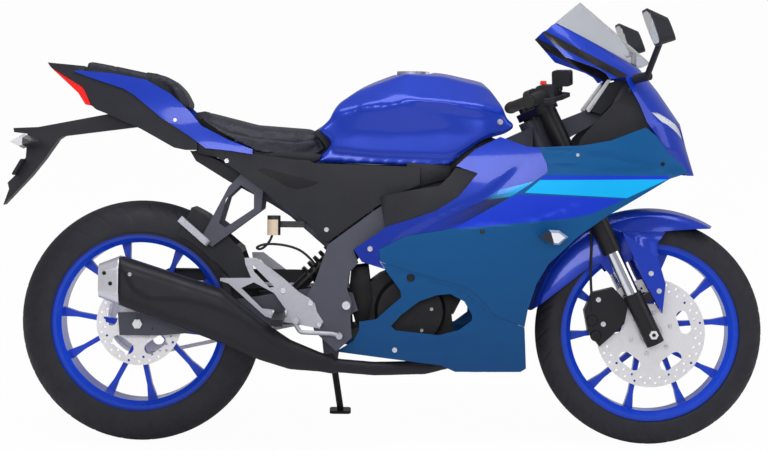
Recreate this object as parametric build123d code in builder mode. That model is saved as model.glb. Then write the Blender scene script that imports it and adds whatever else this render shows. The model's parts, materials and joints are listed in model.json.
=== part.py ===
from build123d import *
import os
from math import cos, pi, radians, sin, tan

# Sport bike with a full fairing, parked on its side stand.
# It is drawn upright: X forward from the rear axle, Y to the rider's left, Z up from the ground.
# The last section leans every finished piece onto the stand and puts the origin under the middle.
# Lengths are in millimetres and angles in degrees.

# ---- driving dimensions: wheels and steering ----
wheelbase = 1325.0
rear_tyre_r, rear_tyre_w = 313.9, 140.0
front_tyre_r, front_tyre_w = 295.9, 100.0
rim_seat_r = 215.9
rim_flange_r = rim_seat_r + 16.1
rim_wall = 10.0
front_rim_w, rear_rim_w = 82.0, 114.0
rake = 25.5
trail = 88.0
fork_leg_y = 92.0
fork_outer_r = 25.0
fork_inner_r = 18.5
leg_lead = 3.0
axle_r = 7.5
axle_bore_r = 5.0
running_fit = 0.05
face_gap = 0.3
lean = 10.0

# ---- driving dimensions: chassis ----
pivot_x, pivot_z = 535.0, 367.0
pivot_r = 12.0
arm_inner_y, arm_outer_y = 92.0, 112.0
frame_plate_y, frame_plate_t = 116.0, 22.0
chain_y = 82.0
chain_pitch = 12.7
front_teeth, rear_teeth = 14, 48
sprocket_x, sprocket_z = 602.0, 372.0
panel_t = 3.5
seam = 0.5

# ---- derived places ----
fork_offset = front_tyre_r * sin(radians(rake)) - trail * cos(radians(rake))
steer_up = Vector(-sin(radians(rake)), 0, cos(radians(rake)))
steer_ahead = Vector(cos(radians(rake)), 0, sin(radians(rake)))
front_hub = Vector(wheelbase, 0, front_tyre_r)
rear_hub = Vector(0, 0, rear_tyre_r)
steer_foot = front_hub - steer_ahead * fork_offset
# Local frame of the steering: x ahead, y to the left, z up along the steering axis.
steer = Plane(origin=steer_foot, x_dir=steer_ahead, z_dir=steer_up)
leg_x = fork_offset - leg_lead
front_wheel_side = Plane(origin=front_hub, x_dir=(1, 0, 0), z_dir=(0, -1, 0))
rear_wheel_side = Plane(origin=rear_hub, x_dir=(1, 0, 0), z_dir=(0, -1, 0))
front_section = Plane(origin=front_hub, x_dir=(1, 0, 0), z_dir=(0, 0, 1))
rear_section = Plane(origin=rear_hub, x_dir=(1, 0, 0), z_dir=(0, 0, 1))
front_spin = Axis(front_hub, (0, 1, 0))
rear_spin = Axis(rear_hub, (0, 1, 0))

pieces = {}


def keep(name, builder):
    """Files a finished sub-part under its node name."""
    builder.part.label = name
    pieces[name] = builder.part


def keep_both(name, right):
    """Files a right-hand piece and its mirror image together, as two solids of one node."""
    with BuildPart() as both:
        add(right.part)
        mirror(right.part, about=Plane.XZ)
    keep(name, both)


def keep_pair(name, right):
    """Files a right-hand piece and its mirror image as two nodes, name_right and name_left."""
    with BuildPart() as left:
        mirror(right.part, about=Plane.XZ)
    keep(name + "_right", right)
    keep(name + "_left", left)


def rod(start, end, radius):
    """A round bar between two points, as a BuildPart of its own."""
    start, end = Vector(*start), Vector(*end)
    with BuildPart() as bar:
        with BuildSketch(Plane(origin=start, z_dir=end - start)):
            Circle(radius)
        extrude(amount=(end - start).length)
    return bar


def bent_bar(points, bends, radius):
    """A round bar of straight runs joined by tangent arcs, as a BuildPart of its own."""
    with BuildPart() as bar:
        with BuildLine() as route:
            FilletPolyline(*points, radius=bends)
        with BuildSketch(Plane(origin=route.line @ 0, z_dir=route.line % 0)):
            Circle(radius)
        sweep(path=route.line)
    return bar


def blend(place, places, values):
    """Straight-line reading of a table of values at rising places."""
    for p1, p2, v1, v2 in zip(places, places[1:], values, values[1:]):
        if place <= p2:
            return v1 + (v2 - v1) * (place - p1) / (p2 - p1)
    return values[-1]


def width_at(levels, table, x, z):
    """Half-width of a ruled skin at a point of its side view."""
    across = [blend(z, levels, widths) for _, *widths in table]
    return blend(x, [row[0] for row in table], across)


def inset_outline(outline, gap):
    """A polygon with every edge moved inwards by the gap."""
    points = [Vector(*point) for point in outline]
    turns = sum(a.X * b.Y - b.X * a.Y for a, b in zip(points, points[1:] + points[:1]))
    side = 1 if turns > 0 else -1
    moved = []
    for before, here, after in zip(points[-1:] + points[:-1], points, points[1:] + points[:1]):
        way_in, way_out = (here - before).normalized(), (after - here).normalized()
        along = (way_in + way_out).normalized()
        mitre = Vector(-along.Y, along.X) * side
        moved.append(here + mitre * (gap / (along.X * way_in.X + along.Y * way_in.Y)))
    return [(point.X, point.Y) for point in moved]


# ---- wheels ----
tread_bands = 8
spoke_pairs = 5
spoke_spread = 20.3
spoke_root_r = 45.0
spoke_t = 22.0


def tyre(section, spin, outer_r, width, rim_w):
    """Tyre as a closed carcass: beads inside the rim flanges and a round tread of flat bands."""
    half, seat_half = width / 2, rim_w / 2 - 9
    shoulder_r = outer_r - width * 0.52
    crown = ThreePointArc((shoulder_r, half), (outer_r, 0), (shoulder_r, -half))
    bands = [crown @ (step / tread_bands) for step in range(tread_bands + 1)]
    with BuildPart() as made:
        with BuildSketch(section):
            Polygon((rim_flange_r, -seat_half - 5), (rim_seat_r, -seat_half), (rim_seat_r, seat_half),
                    (rim_flange_r, seat_half + 5), *[(point.X, point.Y) for point in bands], align=None)
        revolve(axis=spin)
    return made


def rim(section, side, spin, width, hub_r, hub_half, first_pair):
    """Cast rim: barrel with two flanges, hub, and five V-shaped pairs of slim spokes."""
    half = width / 2
    inner_r = rim_seat_r - rim_wall
    reach = rim_seat_r - 46.9
    with BuildPart() as made:
        with BuildSketch(section):
            Polygon((rim_flange_r, half), (rim_flange_r, half - 4), (rim_seat_r, half - 9),
                    (rim_seat_r, 9 - half), (rim_flange_r, 4 - half), (rim_flange_r, -half),
                    (rim_seat_r + 2, -half), (inner_r, 12 - half), (inner_r, half - 12),
                    (rim_seat_r + 2, half), align=None)
        revolve(axis=spin)
        with BuildSketch(side.offset(-hub_half)):
            Circle(hub_r)
        extrude(amount=2 * hub_half)
        with BuildSketch(side.offset(-spoke_t / 2)):
            for pair in range(spoke_pairs):
                centre = first_pair + pair * 360 / spoke_pairs
                root = (spoke_root_r * cos(radians(centre)), spoke_root_r * sin(radians(centre)))
                for turn in (centre - spoke_spread, centre + spoke_spread):
                    with Locations(Location((root[0], root[1], 0), (0, 0, turn))):
                        Polygon((-20, -9), (60, -6.5), (reach - 44, -6.5), (reach, -13),
                                (reach, 13), (reach - 44, 6.5), (60, 6.5), (-20, 9), align=None)
        extrude(amount=spoke_t)
        with BuildSketch(side.offset(-hub_half)):
            Circle(axle_r + running_fit)
        extrude(amount=2 * hub_half, mode=Mode.SUBTRACT)
    return made


def disc(side, face, radius, ring, carrier_r, hub_r, holes):
    """Brake disc with its carrier: drilled ring, curved windows and a bolt circle."""
    with BuildPart() as made:
        with BuildSketch(side.offset(face)):
            Circle(radius)
            with PolarLocations((radius - ring + carrier_r) / 2 + 6, 5, start_angle=18):
                SlotOverall(62, 30, rotation=90, mode=Mode.SUBTRACT)
            with PolarLocations(radius - ring * 0.30, holes):
                Circle(3.2, mode=Mode.SUBTRACT)
            with PolarLocations(radius - ring * 0.68, holes, start_angle=180 / holes):
                Circle(3.2, mode=Mode.SUBTRACT)
            Circle(hub_r, mode=Mode.SUBTRACT)
        extrude(amount=4.0)
    return made


front_hub_half, rear_hub_half = 46.0, 62.0
front_hub_r, rear_hub_r = 27.0, 34.0
front_disc_face, rear_disc_face = 56.0, 74.0

keep("front_tyre", tyre(front_section, front_spin, front_tyre_r, front_tyre_w, front_rim_w))
keep("rear_tyre", tyre(rear_section, rear_spin, rear_tyre_r, rear_tyre_w, rear_rim_w))
keep("front_rim", rim(front_section, front_wheel_side, front_spin, front_rim_w,
                      front_hub_r, front_hub_half, 23.6))
keep("rear_rim", rim(rear_section, rear_wheel_side, rear_spin, rear_rim_w,
                     rear_hub_r, rear_hub_half, 46.0))

# Discs on the right, each on a flange that reaches out from its hub.
front_disc = disc(front_wheel_side, front_disc_face, 141.0, 34.0, 62.0, 30.0, 30)
with BuildPart() as front_brake_disc:
    add(front_disc.part)
    with BuildSketch(front_wheel_side.offset(front_hub_half)):
        Circle(40)
        Circle(axle_r + running_fit + 9, mode=Mode.SUBTRACT)
    extrude(amount=front_disc_face - front_hub_half)
    # Slotted ring that the wheel's speed sensor reads.
    with BuildSketch(front_wheel_side.offset(front_disc_face - 3)):
        Circle(56)
        Circle(38, mode=Mode.SUBTRACT)
        with PolarLocations(50, 36):
            Rectangle(7, 4, mode=Mode.SUBTRACT)
    extrude(amount=3.0)
keep("front_brake_disc", front_brake_disc)

rear_disc = disc(rear_wheel_side, rear_disc_face, 110.0, 30.0, 50.0, 30.0, 24)
with BuildPart() as rear_brake_disc:
    add(rear_disc.part)
    with BuildSketch(rear_wheel_side.offset(rear_hub_half)):
        Circle(40)
        Circle(axle_r + running_fit + 9, mode=Mode.SUBTRACT)
    extrude(amount=rear_disc_face - rear_hub_half)
keep("rear_brake_disc", rear_brake_disc)


# Rear sprocket on the left, with its carrier.
rear_pitch_r = chain_pitch / (2 * sin(pi / rear_teeth))
front_pitch_r = chain_pitch / (2 * sin(pi / front_teeth))
with BuildPart() as rear_sprocket:
    with BuildSketch(rear_wheel_side.offset(-chain_y - 3)):
        Circle(rear_pitch_r - 4.5)
        Circle(30, mode=Mode.SUBTRACT)
        with PolarLocations(66, 6):
            Circle(15, mode=Mode.SUBTRACT)
    extrude(amount=6.0)
    with BuildSketch(rear_wheel_side.offset(-chain_y + 3)):
        Circle(44)
        Circle(30, mode=Mode.SUBTRACT)
    extrude(amount=chain_y - 3 - rear_hub_half)
keep("rear_sprocket", rear_sprocket)

# ---- frame and engine ----
plate_outline = [(681, 656), (610, 613), (488, 522), (455, 425), (432, 385), (455, 300), (512, 249), (551, 285), (547, 332),
                 (550, 379), (538, 407), (543, 451), (566, 476), (553, 508), (639, 566)]
head_low, head_high = 520.0, 632.0
stem_r = 14.0
bracket_t = 8.0
bracket_y = frame_plate_y + frame_plate_t
# The ground as the leaned bike stands on it, seen in the upright drawing.
ground_up = Vector(0, -sin(radians(lean)), cos(radians(lean)))
stand_pivot = Vector(493, 157, 212)
foot_y = 250.0
stand_foot = Vector(515, foot_y, foot_y * tan(radians(lean)))
leg_down = (stand_foot + ground_up * 14 - stand_pivot).normalized()
leg_folded = Vector(-0.985, 0.10, 0.14).normalized()
stand_axis = leg_down.cross(leg_folded).normalized()
stand_hinge = Plane(origin=stand_pivot, z_dir=stand_axis)
with BuildPart() as stand_bracket:
    with BuildSketch(Plane.XZ.offset(-bracket_y)):
        Polygon((462, 298), (524, 298), (508, 188), (474, 188), align=None)
    extrude(amount=-bracket_t)
    with BuildSketch(stand_hinge.offset(-20)):
        Circle(13)
    extrude(amount=20 - face_gap)
    with BuildSketch(stand_hinge.offset(-1)):
        Circle(5)
    extrude(amount=12)
# Stay ahead of the steering head that carries the nose.
with BuildPart() as nose_stay:
    with BuildSketch(Plane.XZ.offset(-10)):
        Polygon((1040, 780), (1050, 830), (1240, 906), (1252, 950), (1264, 950), (1262, 890), (1240, 872), (1070, 776),
                align=None)
    extrude(amount=20)
    add(rod((1257, -120, 936), (1257, 120, 936), 7).part)
# Spar from the pivot plate to the steering head.
with BuildPart() as spar:
    with BuildSketch(Plane.YZ.offset(636)):
        with Locations((-frame_plate_y - frame_plate_t / 2, 608)):
            Rectangle(frame_plate_t, 84)
    with BuildSketch(Plane.YZ.offset(1016)):
        with Locations((-36, 786)):
            Rectangle(30, 84)
    loft(ruled=True)
# Floor of the tank where its pads carry it, and the stay that holds the panel beside the spar.
tank_floor = [(722.0, 724.0), (796.0, 728.0)]
pad_x = [x for x, z in tank_floor]
pad_top = [z - face_gap for x, z in tank_floor]
panel_stay = (900.0, 735.0)
panel_stay_y = 110.0
stay_r = 8.0
with BuildPart() as frame_main:
    add(spar.part)
    with BuildSketch(Plane.XZ.offset(frame_plate_y)):
        Polygon(*plate_outline, align=None)
    extrude(amount=frame_plate_t)
    with BuildSketch(Plane.XZ.offset(80)):
        Polygon((pad_x[0], 676), (pad_x[1], 700), (pad_x[1], pad_top[1]), (pad_x[0], pad_top[0]), align=None)
    extrude(amount=24)
    with BuildSketch(Plane.XZ.offset(64)):
        with Locations(panel_stay):
            Circle(stay_r)
    extrude(amount=panel_stay_y - 64)
    mirror(about=Plane.XZ)
    add(nose_stay.part)
    add(stand_bracket.part)
    with BuildSketch(steer.offset(head_low)):
        Circle(30)
    extrude(amount=head_high - head_low)
    with BuildSketch(Plane.XZ.offset(-frame_plate_y - 1)):
        with Locations((pivot_x, pivot_z)):
            Circle(pivot_r)
        with Locations((585, 577)):
            Circle(13)
    extrude(amount=2 * frame_plate_y + 2)
    with BuildSketch(steer.offset(head_low)):
        Circle(stem_r + running_fit)
    extrude(amount=head_high - head_low, mode=Mode.SUBTRACT)
keep("frame_main", frame_main)

rail_y, rail_r = 84.0, 12.0
rail_narrow, rail_tail = 30.0, 44.0
rail_lug, strut_lug = (620.0, 590.0), (505.0, 505.0)
# Stud that holds the side cover, and the undersides that the rail's pads carry.
cover_stud, cover_stud_y = (400.0, 681.0), 104.0
seat_floor = [(290.0, 763.1), (300.0, 758.0), (310.0, 756.5)]
tail_floor = [(10.0, 810.1), (30.0, 799.2)]
hanger_y, hanger_t = 94.0, 12.0
with BuildPart() as seat_rail:
    with BuildSketch(Plane.XZ.offset(frame_plate_y)):
        with Locations(rail_lug, strut_lug):
            Circle(14)
    extrude(amount=rail_y - 10 - frame_plate_y)
    add(bent_bar([(rail_lug[0], -rail_y, rail_lug[1]), (470, -rail_y, 655), (230, -rail_y, 745),
                  (0, rail_narrow - rail_y, 852), (-80, rail_tail - rail_y, 884)], [60, 90, 90], rail_r).part)
    add(rod((strut_lug[0], -rail_y, strut_lug[1]), (236, -rail_y, 738), 10).part)
    # Hanger plate of the passenger peg, on a pad of the lower tube.
    with BuildSketch(Plane.XZ.offset(hanger_y)):
        Polygon((231, 668), (262, 700), (320, 664), (314, 606), (189, 513), (160, 533), align=None)
        Polygon((224, 636), (262, 672), (296, 650), (296, 612), (222, 562), (206, 574), align=None,
                mode=Mode.SUBTRACT)
    extrude(amount=hanger_t)
    with BuildSketch(Plane.XZ.offset(rail_y)):
        Polygon((262, 697), (300, 682), (318, 664), (296, 668), (268, 690), align=None)
    extrude(amount=hanger_y + 4 - rail_y)
    with BuildSketch(Plane.XZ.offset(rail_y)):
        with Locations(cover_stud):
            Circle(stay_r)
    extrude(amount=cover_stud_y - rail_y)
    with BuildSketch(Plane.XZ.offset(rail_y - 10)):
        Polygon((seat_floor[0][0], 720), *[(x, z - face_gap) for x, z in seat_floor], (seat_floor[-1][0], 718),
                align=None)
    extrude(amount=20)
    with BuildSketch(Plane.XZ.offset(rail_y - rail_narrow - 6)):
        Polygon((tail_floor[0][0], 842), *[(x, z + panel_t + face_gap) for x, z in tail_floor],
                (tail_floor[1][0], 838), align=None)
    extrude(amount=12)
with BuildPart() as subframe:
    add(seat_rail.part)
    mirror(about=Plane.XZ)
    add(rod((300, -rail_y, 722), (300, rail_y, 722), 9).part)
    add(rod((-20, rail_narrow - rail_y, 861), (-20, rail_y - rail_narrow, 861), 9).part)
keep("subframe", subframe)

engine_half, head_half = 72.0, 66.0
# The front face of the cylinder head, from its foot to its top; the exhaust port is on it.
head_foot, head_brow = Vector(812, 0, 340), Vector(905, 0, 520)
exhaust_port = head_foot + (head_brow - head_foot) * 0.6
port_way = Vector(head_brow.Z - head_foot.Z, 0, head_foot.X - head_brow.X).normalized()
with BuildPart() as engine:
    with BuildSketch(Plane.XZ.offset(-engine_half)):
        Polygon((574, 312), (600, 240), (770, 238), (812, 296), (800, 440), (690, 470), (620, 440),
                (580, 410), align=None)
    extrude(amount=2 * engine_half)
    with BuildSketch(Plane.XZ.offset(-head_half)):
        Polygon((700, 400), (head_foot.X, head_foot.Z), (head_brow.X, head_brow.Z), (888, 590), (800, 610),
                align=None)
    extrude(amount=2 * head_half)
    # Lugs that reach the pivot plates.
    with BuildSketch(Plane.XZ.offset(-frame_plate_y)):
        Polygon((524, 272), (524, 296), (600, 318), (600, 290), align=None)
    extrude(amount=2 * frame_plate_y)
    # Output shaft and sprocket on the left.
    with BuildSketch(Plane.XZ.offset(-engine_half)):
        with Locations((sprocket_x, sprocket_z)):
            Circle(11)
    extrude(amount=-(chain_y + 10 - engine_half))
    with BuildSketch(Plane.XZ.offset(-chain_y - 3)):
        with Locations((sprocket_x, sprocket_z)):
            Circle(front_pitch_r - 4.5)
    extrude(amount=6)
keep("engine", engine)

with BuildPart() as engine_covers:
    with BuildSketch(Plane.XZ.offset(engine_half)):
        with Locations((700, 350)):
            Circle(92)
    extrude(amount=34, taper=14)
    with BuildSketch(Plane.XZ.offset(-engine_half)):
        with Locations((726, 340)):
            Circle(84)
    extrude(amount=-32, taper=14)
keep("engine_covers", engine_covers)

with BuildPart() as radiator:
    with BuildSketch(Plane(origin=(930, 0, 430), x_dir=(0, 1, 0), z_dir=(0.985, 0, -0.17))):
        RectangleRounded(250, 220, 10)
    extrude(amount=26)
    # Straps that hang it from the spars.
    with BuildSketch(Plane.XZ.offset(50)):
        Polygon((950, 500), (966, 500), (966, 740), (950, 740), align=None)
    extrude(amount=12)
    with BuildSketch(Plane.XZ.offset(-62)):
        Polygon((950, 500), (966, 500), (966, 740), (950, 740), align=None)
    extrude(amount=12)
    add(spar.part, mode=Mode.SUBTRACT)
    mirror(spar.part, about=Plane.XZ, mode=Mode.SUBTRACT)
keep("radiator", radiator)

# ---- rear suspension and drive ----
# Threaded holes that take the bobbins of a workshop stand.
bobbin, bobbin_r = (40.0, 302.0), 3.4
with BuildPart() as swingarm:
    with BuildSketch(Plane.XZ.offset(arm_inner_y)):
        Polygon((552, 398), (566, 352), (500, 326), (60, 284), (-46, 284), (-51, 342), (20, 342),
                (90, 352), (470, 412), align=None)
    extrude(amount=arm_outer_y - arm_inner_y)
    mirror(about=Plane.XZ)
    with BuildSketch(Plane.XZ.offset(-arm_inner_y)):
        with Locations((pivot_x, pivot_z)):
            Circle(17.5)
        Polygon((338, 312), (338, 378), (372, 384), (400, 350), (380, 316), align=None)
    extrude(amount=2 * arm_inner_y)
    with BuildSketch(Plane.XZ.offset(-arm_outer_y)):
        with Locations((pivot_x, pivot_z)):
            Circle(pivot_r)
        with Locations((0, rear_tyre_r)):
            Circle(axle_r)
        with Locations(bobbin):
            Circle(bobbin_r)
    extrude(amount=2 * arm_outer_y, mode=Mode.SUBTRACT)
keep("swingarm", swingarm)

with BuildPart() as rear_axle:
    with BuildSketch(rear_wheel_side.offset(-arm_outer_y - 14)):
        Circle(axle_r)
    extrude(amount=2 * arm_outer_y + 28)
    for face in (-arm_outer_y - 10, arm_outer_y):
        with BuildSketch(rear_wheel_side.offset(face)):
            RegularPolygon(13, 6)
        extrude(amount=10)
    for face in (-arm_inner_y, rear_hub_half + face_gap):
        with BuildSketch(rear_wheel_side.offset(face)):
            Circle(13)
        extrude(amount=arm_inner_y - rear_hub_half - face_gap)
keep("rear_axle", rear_axle)

shock_low, shock_high = Vector(386, 0, 383), Vector(575.8, 0, 567.2)
with BuildPart() as shock:
    with BuildSketch(Plane(origin=shock_low, z_dir=shock_high - shock_low)):
        Circle(15)
    extrude(amount=(shock_high - shock_low).length)
    for turn in range(7):
        with BuildSketch(Plane(origin=shock_low, z_dir=shock_high - shock_low).offset(70 + 20 * turn)):
            Circle(30)
        extrude(amount=9)
keep("shock", shock)

with BuildPart() as chain:
    with BuildSketch(Plane.XZ.offset(-chain_y - 5.5)):
        with BuildSketch(mode=Mode.PRIVATE) as outer_run:
            with Locations((0, rear_tyre_r)):
                Circle(rear_pitch_r + 5)
            with Locations((sprocket_x, sprocket_z)):
                Circle(front_pitch_r + 5)
            make_hull()
        with BuildSketch(mode=Mode.PRIVATE) as inner_run:
            with Locations((0, rear_tyre_r)):
                Circle(rear_pitch_r - 4.2)
            with Locations((sprocket_x, sprocket_z)):
                Circle(front_pitch_r - 4.2)
            make_hull()
        add(outer_run.sketch)
        add(inner_run.sketch, mode=Mode.SUBTRACT)
    extrude(amount=11)
keep("chain", chain)

with BuildPart() as chain_guard:
    with BuildSketch(Plane.XZ.offset(-arm_inner_y)):
        Polygon((20, 428), (60, 446), (420, 444), (430, 407), (90, 352), (70, 350), align=None)
    extrude(amount=-4)
    with BuildSketch(Plane.XZ.offset(-arm_inner_y)):
        Polygon((28, 428), (60, 446), (300, 445), (300, 441), (61, 441), (30, 424), align=None)
    extrude(amount=20)

hugger_r = rear_tyre_r + 9
with BuildPart() as hugger:
    with BuildSketch(rear_section):
        Polygon((hugger_r - 76, -80), (hugger_r + 4, -80), (hugger_r + 4, 74), (hugger_r - 20, 74),
                (hugger_r - 20, 70), (hugger_r, 70), (hugger_r, -76), (hugger_r - 76, -76), align=None)
    revolve(axis=Axis(rear_hub, (0, -1, 0)), revolution_arc=66)
    with BuildSketch(Plane.XZ.offset(-120)):
        Polygon((400, 350), (290, 430), (262, 508), (200, 560), (130, 640), (400, 700), (450, 350), align=None)
        Polygon((0, 200), (420, 200), (420, 405), (262, 405), (200, 470), (120, 500), (0, 700), align=None)
    extrude(amount=240, mode=Mode.SUBTRACT)
    # Strut down to the right arm.
    with BuildSketch(Plane.XZ.offset(76)):
        Polygon((214, 446), (236, 430), (240, 368), (222, 366), align=None)
    extrude(amount=arm_inner_y - 76)
with BuildPart() as mudguards:
    add(hugger.part)
    add(chain_guard.part)
keep("rear_mudguards", mudguards)

# ---- exhaust ----
pipe_r = 18.0
pipe_route = [exhaust_port, exhaust_port + port_way * 36, (889, -12, 320), (842, -36, 226), (740, -70, 203),
              (610, -108, 203), (506.4, -136, 214)]
exhaust_pipe = bent_bar(pipe_route, [12, 60, 60, 60, 60], pipe_r)

# Columns: x, bottom z, top z, inner y, outer y.
muffler_table = [(506, 192, 236, 114, 158), (470, 199, 247, 116, 168), (395, 206, 279, 122, 190),
                 (320, 230, 330, 124, 206), (225, 272, 408, 126, 220), (-36, 368, 492, 128, 226)]
with BuildPart() as muffler:
    for x, low, high, inner, outer in muffler_table:
        with BuildSketch(Plane.YZ.offset(x)):
            with Locations((-(inner + outer) / 2, (low + high) / 2)):
                RectangleRounded(outer - inner, high - low, 0.3 * min(high - low, outer - inner))
    loft(ruled=True)
    add(exhaust_pipe.part)
keep("exhaust", muffler)

with BuildPart() as muffler_cap:
    for x, low, high, inner, outer in ((-36, 368, 492, 128, 226), (-88, 388, 472, 138, 214)):
        with BuildSketch(Plane.YZ.offset(x)):
            with Locations((-(inner + outer) / 2, (low + high) / 2)):
                RectangleRounded(outer - inner, high - low, 0.3 * min(high - low, outer - inner))
    loft(ruled=True)
    with BuildSketch(Plane.YZ.offset(-88)):
        with Locations((-180, 424)):
            Circle(22)
    extrude(amount=44, mode=Mode.SUBTRACT)
keep("muffler_cap", muffler_cap)

# ---- footrests and controls at the frame ----
peg_pivot = Vector(175, -hanger_y - hanger_t - 9, 526)
peg_fold = Vector(-0.755, 0, 0.656).normalized()
peg_swing = peg_fold.cross(Vector(0, 1, 0)).normalized()
with BuildPart() as passenger_peg:
    with BuildSketch(Plane(origin=peg_pivot, z_dir=peg_fold)):
        Rectangle(17, 17)
    extrude(amount=90)
    # Round knuckle about the folding pin.
    with BuildSketch(Plane(origin=peg_pivot - peg_swing * 8.5, z_dir=peg_swing)):
        Circle(8.5)
    extrude(amount=17)
keep_pair("passenger_peg", passenger_peg)

bracket_outline = [(276, 487), (307, 487), (375, 436), (415, 401), (443, 385), (456, 372), (462, 350),
                   (478, 326), (469, 308), (415, 318), (372, 325), (330, 338), (268, 393), (236, 421),
                   (214, 428), (214, 435), (293, 436), (278, 471)]
with BuildPart() as rider_bracket:
    with BuildSketch(Plane.XZ.offset(bracket_y)):
        Polygon(*bracket_outline, align=None)
        Polygon((296, 470), (352, 414), (340, 411), (300, 452), align=None, mode=Mode.SUBTRACT)
        Polygon((300, 425), (352, 398), (385, 352), (322, 358), (268, 410), align=None, mode=Mode.SUBTRACT)
    extrude(amount=bracket_t)

# The rider's peg folds up about a pin between two ears of its bracket.
peg_x, peg_z = 367.0, 347.0
peg_out = bracket_y + bracket_t + 10
peg_eye_r, peg_pin_r = 9.0, 4.0
peg_w, ear_t = 26.0, 5.0
with BuildPart() as rider_peg:
    with BuildSketch(Plane.XZ.offset(peg_out + 3)):
        with Locations((peg_x, peg_z - 1)):
            Rectangle(peg_w, 15)
    with BuildSketch(Plane.XZ.offset(peg_out + 108)):
        with Locations((peg_x - 2, peg_z - 16)):
            Rectangle(30, 17)
    loft(ruled=True)
    with BuildSketch(Plane.YZ.offset(peg_x - peg_w / 2)):
        with Locations((-peg_out, peg_z)):
            Circle(peg_eye_r)
    extrude(amount=peg_w)
    with BuildSketch(Plane.YZ.offset(peg_x - peg_w / 2 - ear_t)):
        with Locations((-peg_out, peg_z)):
            Circle(peg_pin_r + running_fit)
    extrude(amount=peg_w + 2 * ear_t, mode=Mode.SUBTRACT)
keep_pair("rider_peg", rider_peg)

with BuildPart() as peg_ears:
    for face in (peg_x - peg_w / 2 - ear_t - 0.5, peg_x + peg_w / 2 + 0.5):
        with BuildSketch(Plane.YZ.offset(face)):
            with Locations((-peg_out, peg_z)):
                Circle(peg_eye_r)
            with Locations((-(bracket_y + bracket_t + peg_out) / 2, peg_z)):
                Rectangle(peg_out - bracket_y - bracket_t, 2 * peg_eye_r)
        extrude(amount=ear_t)
    with BuildSketch(Plane.YZ.offset(peg_x - peg_w / 2 - ear_t)):
        with Locations((-peg_out, peg_z)):
            Circle(peg_pin_r)
    extrude(amount=peg_w + 2 * ear_t)

# Foot lever ahead of the peg: brake on the right, gears on the left.
pedal_y = bracket_y + bracket_t + 18
with BuildPart() as foot_lever:
    with BuildSketch(Plane.XZ.offset(bracket_y + bracket_t)):
        with Locations((408, 330)):
            Circle(9)
    extrude(amount=24)
    add(bent_bar([(404, -pedal_y, 326), (420, -pedal_y, 300), (500, -pedal_y, 297), (522, -pedal_y, 292)],
                 [14, 30], 5.5).part)
    with BuildSketch(Plane.XZ.offset(pedal_y - 6)):
        with Locations((520, 293)):
            Circle(8)
    extrude(amount=34)
with BuildPart() as footrest_bracket:
    add(rider_bracket.part)
    add(peg_ears.part)
    add(foot_lever.part)
keep_both("footrest_brackets", footrest_bracket)

with BuildPart() as rear_reservoir:
    with BuildSketch(Plane.XY.offset(545)):
        with Locations((349, -122)):
            Circle(17)
    extrude(amount=50)
    with BuildSketch(Plane.XZ.offset(hanger_y)):
        with Locations((388, 572)):
            Rectangle(78, 16)
    extrude(amount=14)
keep("rear_reservoir", rear_reservoir)

with BuildPart() as rear_caliper:
    with BuildSketch(Plane.XZ.offset(rear_disc_face - 8)):
        Polygon((58, 372), (70, 352), (60, 330), (92, 330), (110, 352), (128, 384), (96, 424), (70, 412),
                align=None)
    extrude(amount=arm_inner_y - rear_disc_face + 8)
    with BuildSketch(rear_wheel_side.offset(rear_disc_face - 2)):
        Circle(114)
    extrude(amount=8, mode=Mode.SUBTRACT)
keep("rear_caliper", rear_caliper)

# ---- side stand ----
with BuildPart() as side_stand:
    with BuildSketch(stand_hinge):
        Circle(13)
    extrude(amount=10)
    add(rod(stand_pivot + stand_axis * 5, stand_foot + ground_up * 8 + stand_axis * 2, 9).part)
    with BuildSketch(Plane(origin=stand_foot, x_dir=(1, 0, 0), z_dir=ground_up)):
        RectangleRounded(58, 40, 10)
    extrude(amount=8)
    with BuildSketch(stand_hinge):
        Circle(5 + running_fit)
    extrude(amount=12, mode=Mode.SUBTRACT)
    with BuildSketch(stand_hinge.offset(10.5)):
        Circle(14)
    extrude(amount=30, mode=Mode.SUBTRACT)
    with BuildSketch(stand_hinge):
        Circle(14)
    extrude(amount=-25, mode=Mode.SUBTRACT)
keep("side_stand", side_stand)

# ---- tail ----
# Columns: x, half-widths at the three tail levels.
tail_levels = (740, 860, 990)
tail_table = [(-262, 44, 42, 26), (-180, 60, 58, 38), (-80, 80, 78, 54), (0, 94, 92, 68),
              (100, 108, 106, 84), (233, 122, 120, 104), (300, 130, 126, 110)]


def skin(levels, table, inset=0.0):
    """A thin right-hand shell ruled through cross-sections given by their half-widths."""
    with BuildPart() as made:
        for x, *widths in table:
            outer = [(inset - width, z) for width, z in zip(widths, levels)]
            inner = [(y + panel_t, z) for y, z in outer]
            with BuildSketch(Plane.YZ.offset(x)):
                Polygon(*outer, *reversed(inner), align=None)
        loft(ruled=True)
    return made


def panel(shell, outline, window=None):
    """The piece of a shell inside a side outline."""
    with BuildPart() as made:
        add(shell.part)
        with BuildSketch(Plane.XZ.offset(-1)):
            Polygon(*inset_outline(outline, seam / 2), align=None)
            if window:
                Polygon(*window, align=None, mode=Mode.SUBTRACT)
        extrude(amount=320, mode=Mode.INTERSECT)
    return made


tail_skin = skin(tail_levels, tail_table)
tail_low = [(-177, 962), (-132, 946), (-45, 918), (-18, 902), (57, 842), (133, 794), (171, 766), (234, 760),
            (293, 751)]
tail_high = [(293, 764), (233, 787), (160, 824), (128, 862), (78, 906), (40, 927), (14, 942), (-77, 959),
             (-179, 967)]
tail_panel = panel(tail_skin, tail_low + tail_high)


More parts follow.
